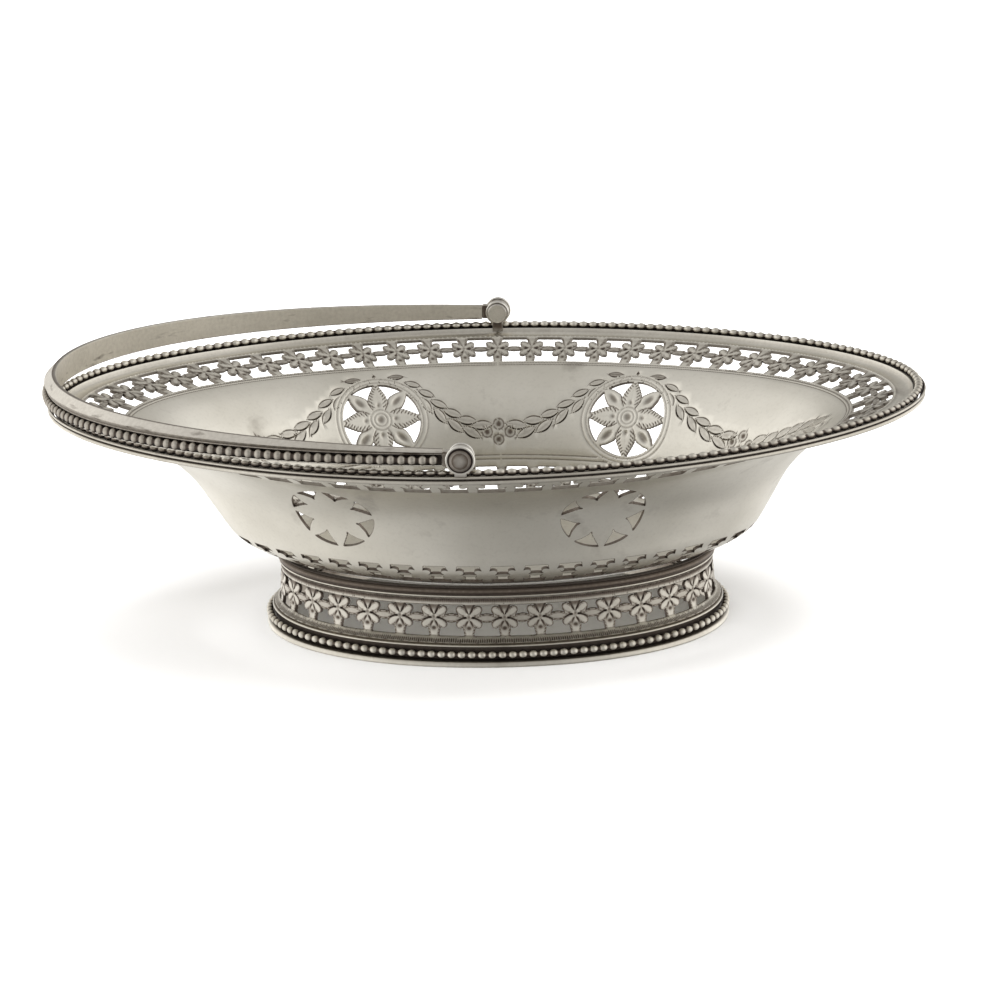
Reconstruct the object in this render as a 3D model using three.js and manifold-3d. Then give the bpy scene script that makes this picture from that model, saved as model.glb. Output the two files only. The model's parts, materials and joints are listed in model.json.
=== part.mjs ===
// Oval swing-handled sweetmeat basket in pierced silver.
// Millimetres, +Z up. X runs along the oval, Y across it, and the foot stands on z = 0.
import * as THREE from 'three';
import { mergeVertices } from 'three/addons/utils/BufferGeometryUtils.js';
import Module from 'manifold-3d';

const wasm = await Module();
wasm.setup();

// Sheet and running clearances
const sheet = 0.7;            // thickness of the bowl and of the foot band
const seatGap = 0.3;          // soldered pieces lie this far apart
const pinGap = 0.2;           // round the pivot pins
const sideGap = 0.2;          // between a knuckle and the ears beside it

// Rim, measured on the centre line of its beads
const rimHalfLength = 84.6;
const rimHalfWidth = 57;
const rimHeight = 45.6;       // at the hinges
const rimEndRise = 0.9;       // the two ends stand this much higher
const rimPinch = 0.021;       // how far the oval is drawn in on its diagonals, towards a point
const rimBeadRadius = 0.8;

// Moulded strip round the edge, under and outside the beads
const stripReach = 1.4;
const stripHeight = 1.7;
const stripWidth = 1.1;

// Flange and upper pierced row, as widths in plan and falls, at the sides and at the ends
const flangeSideWidth = 4.6;
const flangeSideFall = 0.5;
const flangeEndWidth = 4.8;
const flangeEndFall = 0.5;
const rowSideWidth = 4.2;
const rowSideFall = 4.0;
const rowEndWidth = 7.9;
const rowEndFall = 2.8;

// Bowl floor
const floorHalfLength = 43;
const floorHalfWidth = 28.2;
const floorHeight = 15.2;     // underside of the floor

// Bowl wall between the floor and the upper row, as shares of its reach and of its height.
// The wall leaves the floor almost flat, stands up at the belly and flares out again.
const wallLine = [
  { side: [0.12, 0.05], end: [0.12, 0.04] },
  { side: [0.24, 0.13], end: [0.25, 0.11] },
  { side: [0.31, 0.23], end: [0.33, 0.19] },
  { side: [0.35, 0.38], end: [0.42, 0.35] },
  { side: [0.48, 0.65], end: [0.58, 0.63] },
  { side: [0.76, 0.89], end: [0.82, 0.88] },
];
const wallLevels = 7;         // rings of facets up the wall

// Pierced rows: florets round the oval, with a hole above and below the link between two of them
const upperFlorets = 56;
const lowerFlorets = 42;
const lowerRowBottom = 0.15;  // lower row, as shares of the wall line
const lowerRowTop = 0.43;
const upperRowMargin = 0.15;  // plain sheet left above and below the upper row
const floorRingLevel = 0.6;   // ring of facets where the floor turns up
const footFlorets = 34;
const footRowPhase = 0.42;    // first floret of the foot, in pitches past the middle of the front

// Pierced roundels, two to each long side
const roundelDiameter = 16;
const roundelSpacing = 52.2;  // between the two of one side
const roundelShift = 2;       // the pair on the far side stands this far to the right, the near pair to the left
const roundelPlace = 0.714;   // share of the wall line
const roundelHoles = 8;
const roundelHubDiameter = 7.6;
const roundelHoleTurn = 0.33; // half the turn that one of its holes spans
const roundelBorder = 1;      // plain sheet round its holes

// Foot
const footShift = 1.4;        // the foot, and the floor above it, stand slightly off the rim's centre
const footPinch = -0.012;
const neckHalfLength = 42.9;
const neckHalfWidth = 28.9;
const bandFlareEnd = 1.6;     // how far the band spreads from its top to its lower edge
const bandFlareSide = 2.5;
const bandTop = 12.6;
const bandPiercedTop = 11.3;
const bandPiercedBottom = 5.4;
const bandWaist = 0.35;       // share of the flare that is reached at the bottom of the piercing
const baseHeight = 4.1;       // top of the base ring's ridge, which carries the band
const baseWall = 1.3;
const baseReach = 1.5;        // the plain bottom edge stands out this far past the wall
const baseEdgeHeight = 1.3;
const baseRidgeHeight = 0.5;
const footBeadRadius = 0.68;
const collarBulge = 0.7;
const collarWidth = 1.6;

// Hinges: two ears to each side, a rivet pin, and the handle's knuckle between the ears
const pivotHeight = 48.45;
const hingeOutset = 0.1;      // the knuckle's middle lies this far outside the line of the beads
const hingeShift = -0.65;     // the hinge line passes this far from the rim's centre
const hingeTurn = -0.65;      // degrees that it is turned in plan, as the hand-fitted lugs stand
const pinRadius = 0.9;
const knuckleRadius = 2.4;
const knuckleLength = 1.6;
const earThickness = 0.8;
const outerEarRadius = 2.7;
const innerEarRadius = 2.45;
const earFootWidth = 3.6;
const headRadius = 2.0;
const headFaceRadius = 1.5;
const headHeight = 0.4;
const tailRadius = 2.1;
const tailHeight = 0.3;

// Swing handle, drawn flat and then laid back onto the rim
const handleHalfLength = 84; // from the pivot line to the crown, on the strap's centre line
const handleHalfWidth = 56.4;
const handlePinch = -0.02;
const handleTilt = 1.2;       // degrees above level when it lies folded
const strapEndWidth = 2.85;
const strapCrownWidth = 5.2;
const strapBack = 0.9;        // thickness behind the bead channel
const strapRail = 0.7;        // how far the upper rail stands out past the channel
const strapRailEdge = 0.2;    // upright edge of that rail, under its bevel
const strapTop = 0.4;         // width of the flat along the top
const strapLip = 0.25;        // height of the thin rail under the beads
const strapLipReach = 0.4;    // how far that rail stands out
const handleBeadRadius = 0.7;
const strapNeck = 0.9;        // shoulder between the knuckle and the strap

const facets = 56;            // round each oval
const handleFacets = 40;
const roundFacets = 20;       // round a pin

const finish = {
  sheet: { color: 0xb9b6ad, roughness: 0.32, metalness: 1 },
  wire: { color: 0xa9a59b, roughness: 0.38, metalness: 1 },
  hinge: { color: 0xc4c1b8, roughness: 0.25, metalness: 1 },
  strap: { color: 0xb3afa5, roughness: 0.3, metalness: 1 },
};

function named(name, geometry, look) {
  const mesh = new THREE.Mesh(geometry, new THREE.MeshStandardMaterial(look));
  mesh.name = name;
  return mesh;
}

// A closed geometry from points and triangles
function fromPoints(points, triangles) {
  const geometry = new THREE.BufferGeometry();
  geometry.setAttribute('position', new THREE.Float32BufferAttribute(points.flat(), 3));
  geometry.setIndex(triangles.flat());
  return geometry;
}

function toSolid(geometry) {
  const bare = geometry.clone();
  bare.deleteAttribute('normal');
  bare.deleteAttribute('uv');
  const merged = mergeVertices(bare, 1e-4);
  return new wasm.Manifold(new wasm.Mesh({
    numProp: 3,
    vertProperties: new Float32Array(merged.attributes.position.array),
    triVerts: new Uint32Array(merged.index.array),
  }));
}

function toGeometry(solid) {
  const mesh = solid.getMesh();
  const geometry = new THREE.BufferGeometry();
  geometry.setAttribute('position', new THREE.BufferAttribute(new Float32Array(mesh.vertProperties), 3));
  geometry.setIndex(new THREE.BufferAttribute(new Uint32Array(mesh.triVerts), 1));
  return geometry;
}

// A point of an oval whose diagonals are drawn in by a share of their length
function ovalPoint(halfLength, halfWidth, pinch, angle) {
  const draw = 1 - pinch * Math.sin(2 * angle) ** 2;
  return [halfLength * Math.cos(angle) * draw, halfWidth * Math.sin(angle) * draw];
}

// Ring of a constant section: each section point is [outward, height]
function ovalRing(oval, section) {
  const points = [];
  const triangles = [];
  const count = section.length;
  for (let i = 0; i < facets; i++) {
    const angle = (2 * Math.PI * i) / facets;
    const lift = (oval.endRise ?? 0) * Math.cos(angle) ** 2;
    for (const [outward, height] of section) {
      const [x, y] = ovalPoint(oval.halfLength + outward, oval.halfWidth + outward, oval.pinch, angle);
      points.push([x + (oval.shift ?? 0), y, height + lift]);
    }
    const here = i * count;
    const next = ((i + 1) % facets) * count;
    for (let j = 0; j < count; j++) {
      const k = (j + 1) % count;
      triangles.push([here + j, next + j, next + k], [here + j, next + k, here + k]);
    }
  }
  return fromPoints(points, triangles);
}

function roundSection(outward, height, radius, sides = 6) {
  const section = [];
  for (let j = 0; j < sides; j++) {
    const angle = (2 * Math.PI * (j + 0.5)) / sides;
    section.push([outward + radius * Math.cos(angle), height + radius * Math.sin(angle)]);
  }
  return section;
}

const rimOval = {
  halfLength: rimHalfLength,
  halfWidth: rimHalfWidth,
  pinch: rimPinch,
  endRise: rimEndRise,
};
const footOval = {
  halfLength: neckHalfLength,
  halfWidth: neckHalfWidth,
  pinch: footPinch,
  shift: footShift,
};

// Outer line of the bowl at its sides and at its ends, as [reach, height], from floor to lip.
// Both share one parameter, so that a level is the same feature all round.
const lipHeight = rimHeight - rimBeadRadius - seatGap - sheet;
const lipReach = stripReach - stripWidth - seatGap;

function bowlLine(part) {
  const atSide = part === 'side';
  const lip = (atSide ? rimHalfWidth : rimHalfLength) + lipReach;
  const lipZ = lipHeight + (atSide ? 0 : rimEndRise);
  const flangeIn = (atSide ? rimHalfWidth - flangeSideWidth : rimHalfLength - flangeEndWidth);
  const flangeZ = lipZ - (atSide ? flangeSideFall : flangeEndFall);
  const rowIn = flangeIn - (atSide ? rowSideWidth : rowEndWidth);
  const rowZ = flangeZ - (atSide ? rowSideFall : rowEndFall);
  const floorReach = atSide ? floorHalfWidth : floorHalfLength;
  const wall = [[floorReach, floorHeight]];
  for (const level of wallLine) {
    const [reach, height] = level[part];
    wall.push([floorReach + (rowIn - floorReach) * reach, floorHeight + (rowZ - floorHeight) * height]);
  }
  wall.push([rowIn, rowZ]);
  const curve = new THREE.SplineCurve(wall.map(([r, z]) => new THREE.Vector2(r, z)));
  const line = [];
  for (let i = 0; i <= wallLevels; i++) {
    const point = curve.getPoint(i / wallLevels);
    line.push([point.x, point.y]);
  }
  line.push([flangeIn, flangeZ], [lip, lipZ]);
  return line;
}

// The same line moved inwards by the sheet's thickness
function insetLine(line) {
  return line.map((point, i) => {
    const before = line[Math.max(i - 1, 0)];
    const after = line[Math.min(i + 1, line.length - 1)];
    const length = Math.hypot(after[0] - before[0], after[1] - before[1]);
    const turn = [-(after[1] - before[1]) / length, (after[0] - before[0]) / length];
    if (i === 0) return [point[0] - sheet * 0.4, point[1] + sheet];
    if (i === line.length - 1) return [point[0], point[1] + sheet];
    return [point[0] + turn[0] * sheet, point[1] + turn[1] * sheet];
  });
}

const outerSide = bowlLine('side');
const outerEnd = bowlLine('end');
const innerSide = insetLine(outerSide);
const innerEnd = insetLine(outerEnd);

// Point of the bowl's outer or inner face: level counts along the line, angle runs round the oval
function bowlPoint(level, angle, inner = false) {
  const side = inner ? innerSide : outerSide;
  const end = inner ? innerEnd : outerEnd;
  const i = Math.min(Math.max(Math.floor(level), 0), side.length - 2);
  const f = level - i;
  const blend = (line, axis) => line[i][axis] * (1 - f) + line[i + 1][axis] * f;
  const [x, y] = ovalPoint(blend(end, 0), blend(side, 0), rimPinch, angle);
  const z = blend(side, 1) + (blend(end, 1) - blend(side, 1)) * Math.cos(angle) ** 2;
  return new THREE.Vector3(x + leanAt(blend(side, 1)), y, z);
}

// The bowl leans a little, so that its floor sits over the foot and its lip stays under the rim
function leanAt(height) {
  const top = lipHeight - flangeSideFall;
  return footShift * Math.min(Math.max((top - height) / (top - floorHeight), 0), 1);
}

// Moves a level by a distance along the slope of the sheet
function moveLevel(level, angle, distance) {
  const step = 0.02;
  const rate = bowlPoint(level + step, angle).distanceTo(bowlPoint(level - step, angle)) / (2 * step);
  return level + distance / rate;
}

function walkLevel(level, angle, distance) {
  const strides = 8;
  let here = level;
  for (let i = 0; i < strides; i++) here = moveLevel(here, angle, distance / strides);
  return here;
}

// Angles that space a number of copies evenly along a closed curve
function evenAngles(curveAt, count, start) {
  const samples = 1440;
  const length = [0];
  let last = curveAt(start);
  for (let i = 1; i <= samples; i++) {
    const point = curveAt(start + (2 * Math.PI * i) / samples);
    length.push(length[i - 1] + point.distanceTo(last));
    last = point;
  }
  const pitch = length[samples] / count;
  const angles = [];
  let i = 0;
  for (let n = 0; n < count; n++) {
    while (length[i + 1] < n * pitch) i++;
    const f = (n * pitch - length[i]) / (length[i + 1] - length[i]);
    angles.push(start + (2 * Math.PI * (i + f)) / samples);
  }
  return { angles, pitch };
}

// Holes of one floret gap, as shares of the pitch and of the row's height, going round anticlockwise
const holeAbove = [[-0.15, 0.18], [0.15, 0.18], [0.3, 0.47], [-0.3, 0.47]];
const holeBelow = [[-0.36, -0.47], [0.36, -0.47], [0.16, -0.07], [-0.16, -0.07]];

// A sheet is planned flat, as spots [level, angle], faces between them and the loops round its edges,
// and then given its two sides. The plan is drawn at about the size of the real sheet.
const planRadius = 30;
const planRise = 5;

function addRing(plan, level, angles) {
  return angles.map((angle) => plan.spots.push([level, angle]) - 1);
}

// Faces between two rings of spots, which may differ in number
function stitch(plan, low, high) {
  const turnOf = (ring, i) => plan.spots[ring[i % ring.length]][1] + (i >= ring.length ? 2 * Math.PI : 0);
  let i = 0;
  let j = 0;
  while (i < low.length || j < high.length) {
    const a = low[i % low.length];
    const b = high[j % high.length];
    const lowNext = i < low.length && (j >= high.length || turnOf(low, i + 1) <= turnOf(high, j + 1) + 1e-6);
    if (lowNext) {
      plan.faces.push([a, low[(i + 1) % low.length], b]);
      i++;
    } else {
      plan.faces.push([a, high[(j + 1) % high.length], b]);
      j++;
    }
  }
}

// Faces inside an outline of spots, round holes of new spots
function fillAround(plan, outline, turns, holes) {
  const spotOf = (index, k) => [plan.spots[index][0], plan.spots[index][1] + (turns[k] ?? 0)];
  const corners = outline.map((index, k) => spotOf(index, k));
  const loops = holes.map((hole) => hole.map((spot) => plan.spots.push(spot) - 1));
  const flat = (spots) => spots.map(([level, angle]) => new THREE.Vector2(angle * planRadius, level * planRise));
  const contour = flat(corners);
  const indices = [...outline, ...loops.flat()];
  const all = [...contour, ...holes.flatMap((hole) => flat(hole))];
  for (const [a, b, c] of THREE.ShapeUtils.triangulateShape(contour, holes.map(flat))) {
    const turn = (all[b].x - all[a].x) * (all[c].y - all[a].y) - (all[b].y - all[a].y) * (all[c].x - all[a].x);
    plan.faces.push(turn > 0 ? [indices[a], indices[b], indices[c]] : [indices[a], indices[c], indices[b]]);
  }
  plan.edges.push(...loops);
}

// A row of florets between two rings: each gap has a hole above and one below the link across it
function addRow(plan, low, high, phase = 0) {
  const count = low.length;
  for (let i = 0; i < count; i++) {
    const next = (i + 1) % count;
    const turn = i + 1 === count ? 2 * Math.PI : 0;
    const [bottom, from] = plan.spots[low[i]];
    const top = plan.spots[high[i]][0];
    const to = plan.spots[low[next]][1] + turn;
    const place = ([u, s]) => [
      (bottom + top) / 2 + s * (top - bottom),
      (from + to) / 2 + (u + phase) * (to - from),
    ];
    fillAround(
      plan,
      [low[i], low[next], high[next], high[i]],
      [0, turn, turn, 0],
      [holeAbove.map(place), holeBelow.map(place)],
    );
  }
}

// Gives the plan its outer and inner side, and closes it along its open edges
function thicken(plan, pointAt, extra = { points: [], faces: [] }) {
  const count = plan.spots.length;
  const points = [
    ...plan.spots.map(([level, angle]) => pointAt(level, angle, false).toArray()),
    ...plan.spots.map(([level, angle]) => pointAt(level, angle, true).toArray()),
    ...extra.points,
  ];
  const triangles = [];
  for (const [a, b, c] of plan.faces) triangles.push([a, b, c], [a + count, c + count, b + count]);
  for (const loop of plan.edges) {
    loop.forEach((a, j) => {
      const b = loop[(j + 1) % loop.length];
      triangles.push([a, b, b + count], [a, b + count, a + count]);
    });
  }
  for (const [a, b, c] of extra.faces) triangles.push([a, b, c]);
  return fromPoints(points, triangles);
}

function rowAngles(level, florets, start) {
  return evenAngles((angle) => bowlPoint(level, angle), florets, start).angles;
}

// The eight holes round a roundel's flower
function roundelHoleSpots(level, centre) {
  const small = 0.002;
  const place = (along, up) => {
    const raised = walkLevel(level, centre, up);
    const rate = bowlPoint(raised, centre + small).distanceTo(bowlPoint(raised, centre - small)) / (2 * small);
    return [raised, centre + along / rate];
  };
  const outer = roundelDiameter / 2;
  const hub = roundelHubDiameter / 2;
  const holes = [];
  for (let n = 0; n < roundelHoles; n++) {
    const turn = (2 * Math.PI * (n + 0.5)) / roundelHoles;
    const corners = [[hub, 0], [outer, -roundelHoleTurn], [outer, 0], [outer, roundelHoleTurn]];
    holes.push(corners.map(([r, a]) => place(r * Math.cos(turn + a), r * Math.sin(turn + a))));
  }
  return holes;
}

function roundelCentres(level) {
  const centres = [];
  for (const side of [1, -1]) {
    for (const end of [1, -1]) {
      const x = (end * roundelSpacing) / 2 + side * roundelShift;
      const right = bowlPoint(level, 0).x;
      const left = bowlPoint(level, Math.PI).x;
      const angle = side * Math.acos((2 * x - right - left) / (right - left));
      centres.push(angle < Math.PI / 2 ? angle + 2 * Math.PI : angle);
    }
  }
  return centres;
}

function bowl() {
  const plan = { spots: [], faces: [], edges: [] };
  const start = Math.PI / 2;
  const lowerAngles = rowAngles(((lowerRowBottom + lowerRowTop) / 2) * wallLevels, lowerFlorets, start);
  const upperAngles = rowAngles(wallLevels + 0.5, upperFlorets, start);
  const place = roundelPlace * wallLevels;
  const border = roundelDiameter / 2 + roundelBorder;
  const below = walkLevel(place, start, -border);
  const above = walkLevel(place, start, border);

  const low = [0, floorRingLevel, lowerRowBottom * wallLevels, lowerRowTop * wallLevels]
    .map((level) => addRing(plan, level, lowerAngles));
  const high = [0, 1 / 3, 2 / 3, 1].map((f) => addRing(plan, below + (above - below) * f, upperAngles));
  const upper = [
    walkLevel(wallLevels, start, upperRowMargin),
    walkLevel(wallLevels + 1, start, -upperRowMargin),
    outerSide.length - 1,
  ].map((level) => addRing(plan, level, upperAngles));

  stitch(plan, low[0], low[1]);
  stitch(plan, low[1], low[2]);
  addRow(plan, low[2], low[3]);
  stitch(plan, low[3], high[0]);

  // Wall between the rows, left open where a roundel is let in
  const taken = new Set();
  for (const centre of roundelCentres(place)) {
    const halfTurn = border / (bowlPoint(place, centre + 0.5).distanceTo(bowlPoint(place, centre - 0.5)));
    const from = upperAngles.findLastIndex((angle) => angle <= centre - halfTurn);
    const to = upperAngles.findIndex((angle) => angle >= centre + halfTurn);
    const last = to < 0 ? upperAngles.length : to;
    for (let i = from; i < last; i++) taken.add(i);
    const wrap = (i) => i % upperAngles.length;
    const columns = Array.from({ length: last - from + 1 }, (_, i) => from + i);
    const turnOf = (i) => (i >= upperAngles.length ? 2 * Math.PI : 0);
    const outline = [
      ...columns.map((i) => [high[0][wrap(i)], turnOf(i)]),
      [high[1][wrap(last)], turnOf(last)],
      [high[2][wrap(last)], turnOf(last)],
      ...[...columns].reverse().map((i) => [high[3][wrap(i)], turnOf(i)]),
      [high[2][from], 0],
      [high[1][from], 0],
    ];
    fillAround(plan, outline.map(([spot]) => spot), outline.map(([, turn]) => turn), roundelHoleSpots(place, centre));
  }
  for (let row = 0; row + 1 < high.length; row++) {
    for (let i = 0; i < upperAngles.length; i++) {
      if (taken.has(i)) continue;
      const next = (i + 1) % upperAngles.length;
      plan.faces.push([high[row][i], high[row][next], high[row + 1][next]]);
      plan.faces.push([high[row][i], high[row + 1][next], high[row + 1][i]]);
    }
  }

  stitch(plan, high[3], upper[0]);
  addRow(plan, upper[0], upper[1]);
  stitch(plan, upper[1], upper[2]);
  plan.edges.push(upper[2]);

  // The floor closes both sides to a point at its middle
  const count = plan.spots.length;
  const floor = { points: [[footShift, 0, floorHeight], [footShift, 0, floorHeight + sheet]], faces: [] };
  low[0].forEach((spot, i) => {
    const next = low[0][(i + 1) % low[0].length];
    floor.faces.push([2 * count, next, spot], [2 * count + 1, spot + count, next + count]);
  });
  return named('bowl', thicken(plan, bowlPoint, floor), finish.sheet);
}

function rimBorderStrip() {
  const inner = stripReach - stripWidth;
  const top = rimHeight - seatGap;
  const middle = top - stripHeight / 2;
  const bottom = top - stripHeight;
  const clear = rimBeadRadius + seatGap;
  const section = [
    [inner, bottom],
    [stripReach - 0.3, bottom],
    [stripReach, middle - 0.3],
    [stripReach, middle + 0.3],
    [Math.max(clear + 0.2, stripReach - 0.25), top],
    [Math.max(clear, inner), top],
    [inner, Math.min(middle, rimHeight - clear)],
  ];
  return named('rim_border_strip', ovalRing(rimOval, section), finish.wire);
}

// Foot band: a pierced sheet that spreads towards the base
function bandReach(height, share) {
  const bottom = baseHeight + seatGap;
  const waist = bandPiercedBottom;
  if (height >= waist) return (share * bandWaist * (bandTop - height)) / (bandTop - waist);
  return share * (bandWaist + ((1 - bandWaist) * (waist - height)) / (waist - bottom));
}

function bandPoint(height, angle, inner = false) {
  const inward = inner ? sheet : 0;
  const [x, y] = ovalPoint(
    neckHalfLength + bandReach(height, bandFlareEnd) - inward,
    neckHalfWidth + bandReach(height, bandFlareSide) - inward,
    footPinch,
    angle,
  );
  return new THREE.Vector3(x + footShift, y, height);
}

function footBand() {
  const plan = { spots: [], faces: [], edges: [] };
  const middle = (bandPiercedTop + bandPiercedBottom) / 2;
  const curve = (angle) => bandPoint(middle, angle, false);
  const { angles } = evenAngles(curve, footFlorets, -Math.PI / 2);
  const shifted = angles.map((angle, i) => {
    const next = i + 1 < footFlorets ? angles[i + 1] : angles[0] + 2 * Math.PI;
    return angle + (next - angle) * footRowPhase;
  });
  const rings = [baseHeight + seatGap, bandPiercedBottom, bandPiercedTop, bandTop]
    .map((height) => addRing(plan, height, shifted));
  stitch(plan, rings[0], rings[1]);
  addRow(plan, rings[1], rings[2]);
  stitch(plan, rings[2], rings[3]);
  plan.edges.push([...rings[0]].reverse(), rings[3]);
  return named('foot_band', thicken(plan, bandPoint), finish.sheet);
}

// Moulded collar between the bowl's floor and the foot band
function footCollar() {
  const bottom = bandTop + seatGap;
  const top = floorHeight - seatGap;
  const rise = top - bottom;
  const section = [
    [-collarWidth + collarBulge, bottom],
    [0.2, bottom],
    [collarBulge, bottom + 0.25 * rise],
    [collarBulge, bottom + 0.6 * rise],
    [0.3 * collarBulge, top],
    [-collarWidth + collarBulge, top],
  ];
  return named('foot_collar', ovalRing(footOval, section), finish.wire);
}

// Base ring: a plain bottom edge, a hollow that holds the beads, and a ridge under the band
const baseOval = {
  halfLength: neckHalfLength + bandFlareEnd,
  halfWidth: neckHalfWidth + bandFlareSide,
  pinch: footPinch,
  shift: footShift,
};
const baseWallFace = 0.1;
const footBeadHeight = (baseEdgeHeight + baseHeight - baseRidgeHeight) / 2;

function footBaseRing() {
  const ridgeBottom = baseHeight - baseRidgeHeight;
  const section = [
    [baseWallFace - baseWall, 0],
    [baseWallFace + baseReach - 0.2, 0],
    [baseWallFace + baseReach, 0.3],
    [baseWallFace + baseReach - 0.1, baseEdgeHeight - 0.4],
    [baseWallFace, baseEdgeHeight - 0.1],
    [baseWallFace, ridgeBottom],
    [baseWallFace + 0.35, ridgeBottom + 0.15],
    [baseWallFace + 0.35, baseHeight],
    [baseWallFace - baseWall, baseHeight],
  ];
  return named('foot_base_ring', ovalRing(baseOval, section), finish.wire);
}

function footBeadWire() {
  const outward = baseWallFace + seatGap + footBeadRadius;
  return named('foot_bead_wire', ovalRing(baseOval, roundSection(outward, footBeadHeight, footBeadRadius)), finish.wire);
}

// Hinges. The knuckle is centred over the rim's beads, and the ears stand each side of it.
const hingeCentre = rimHalfWidth + hingeOutset;
const innerEarFace = hingeCentre - knuckleLength / 2 - sideGap;
const outerEarFace = hingeCentre + knuckleLength / 2 + sideGap;
const boreRadius = pinRadius + pinGap;

// A round along Y from one distance to another, centred on the pivot line
function roundAlong(radius, from, to, endRadius = radius) {
  const geometry = new THREE.CylinderGeometry(endRadius, radius, to - from, roundFacets);
  geometry.translate(0, (from + to) / 2, 0);
  return toSolid(geometry);
}

function block(x, y, z) {
  const geometry = new THREE.BoxGeometry(x[1] - x[0], y[1] - y[0], z[1] - z[0]);
  geometry.translate((x[0] + x[1]) / 2, (y[0] + y[1]) / 2, (z[0] + z[1]) / 2);
  return toSolid(geometry);
}

// A round-topped plate whose foot narrows to the seat at footZ
function earPlate(radius, from, to, footZ) {
  const halfFoot = earFootWidth / 2;
  const shoulder = Math.asin(halfFoot / radius) - Math.PI / 2;
  const shape = new THREE.Shape();
  shape.moveTo(-halfFoot, footZ);
  shape.lineTo(halfFoot, footZ);
  shape.absarc(0, 0, radius, shoulder, Math.PI - shoulder, false);
  shape.closePath();
  const geometry = new THREE.ExtrudeGeometry(shape, { depth: to - from, bevelEnabled: false, curveSegments: 14 });
  geometry.rotateX(Math.PI / 2);
  geometry.translate(0, to, 0);
  return toSolid(geometry).subtract(roundAlong(boreRadius, from - 1, to + 1));
}

// All hinge parts are drawn for +Y about the pivot line, then turned half round for -Y
function hingePart(name, solid, rear, look) {
  const mesh = named(name, toGeometry(solid), look);
  mesh.rotation.z = rear ? 0 : Math.PI;
  return mesh;
}

// The inner ear stands on the flange
function innerEar() {
  const flangeTop = lipHeight + sheet;
  return earPlate(innerEarRadius, innerEarFace - earThickness, innerEarFace, flangeTop + seatGap - pivotHeight);
}

// The outer ear stands on the edge of the moulded strip
function outerEar() {
  const stripTop = rimHeight - seatGap;
  return earPlate(outerEarRadius, outerEarFace, outerEarFace + earThickness, stripTop + seatGap - pivotHeight);
}

function pivotPin() {
  const innerEnd = innerEarFace - earThickness - pinGap;
  const outerEnd = outerEarFace + earThickness + pinGap;
  const shaft = roundAlong(pinRadius, innerEnd - tailHeight / 2, outerEnd + headHeight / 2);
  const tail = roundAlong(tailRadius, innerEnd - tailHeight, innerEnd);
  const head = roundAlong(headRadius, outerEnd, outerEnd + headHeight, headFaceRadius);
  return shaft.add(tail).add(head);
}

function knuckle() {
  const half = knuckleLength / 2;
  const barrel = roundAlong(knuckleRadius, hingeCentre - half, hingeCentre + half);
  const neck = block(
    [-knuckleRadius - strapNeck, 0],
    [hingeCentre - half, hingeCentre + half],
    [-strapEndWidth / 2, strapEndWidth / 2],
  );
  const bore = roundAlong(boreRadius, hingeCentre - half - 1, hingeCentre + half + 1);
  return barrel.add(neck).subtract(bore);
}

// The beads are filed hollow under each knuckle, so that it can turn
function rimBeadWire() {
  const room = roundAlong(knuckleRadius + seatGap, -rimHalfWidth * 2, rimHalfWidth * 2)
    .rotate([0, 0, hingeTurn])
    .translate([hingeShift, 0, pivotHeight]);
  const wire = toSolid(ovalRing(rimOval, roundSection(0, rimHeight, rimBeadRadius)));
  return named('rim_bead_wire', toGeometry(wire.subtract(room)), finish.wire);
}

// Knuckles of the two sides mirror each other, since both necks point along the folded handle
function mirroredKnuckle(rear) {
  const solid = knuckle();
  if (rear) return solid;
  const geometry = toGeometry(solid);
  geometry.scale(1, -1, 1);
  const order = geometry.index.array;
  for (let i = 0; i < order.length; i += 3) [order[i], order[i + 1]] = [order[i + 1], order[i]];
  return toSolid(geometry);
}

// Strap width at an angle of the arch
function strapWidth(angle) {
  return strapEndWidth + (strapCrownWidth - strapEndWidth) * Math.abs(Math.cos(angle)) ** 0.8;
}

function beadLine(width) {
  return -width / 2 + strapLip + handleBeadRadius + seatGap;
}

// The arch runs from the rear knuckle over the crown to the front one
function archAngles() {
  const reach = knuckleRadius + strapNeck + seatGap;
  const start = Math.PI / 2 + Math.asin(reach / handleHalfLength);
  const end = 2 * Math.PI - start;
  const angles = [];
  for (let i = 0; i <= handleFacets; i++) angles.push(start + ((end - start) * i) / handleFacets);
  return angles;
}

// Sweep a section along the arch: section(angle) gives [outward, across] points
function archSweep(section) {
  const angles = archAngles();
  const points = [];
  const triangles = [];
  const count = section(angles[0]).length;
  angles.forEach((angle, i) => {
    for (const [outward, across] of section(angle)) {
      const [x, y] = ovalPoint(handleHalfLength + outward, handleHalfWidth + outward, handlePinch, angle);
      points.push([x, y, across]);
    }
    if (i === 0) return;
    const here = (i - 1) * count;
    const next = i * count;
    for (let j = 0; j < count; j++) {
      const k = (j + 1) % count;
      triangles.push([here + j, next + j, next + k], [here + j, next + k, here + k]);
    }
  });
  const flat = section(angles[0]).map(([u, w]) => new THREE.Vector2(u, w));
  const last = (angles.length - 1) * count;
  for (const [a, b, c] of THREE.ShapeUtils.triangulateShape(flat, [])) {
    triangles.push([a, b, c], [last + a, last + c, last + b]);
  }
  return fromPoints(points, triangles);
}

function handleStrap() {
  const section = (angle) => {
    const width = strapWidth(angle);
    const bead = beadLine(width);
    const back = -strapBack / 2;
    const face = strapBack / 2;
    const above = bead + handleBeadRadius + seatGap;
    return [
      [back, -width / 2],
      [face + strapLipReach, -width / 2],
      [face + strapLipReach, -width / 2 + strapLip],
      [face, -width / 2 + strapLip],
      [face, above],
      [face + strapRail, above],
      [face + strapRail, above + strapRailEdge],
      [back + strapTop, width / 2],
      [back, width / 2],
    ];
  };
  return named('handle_strap', archSweep(section), finish.strap);
}

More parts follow.
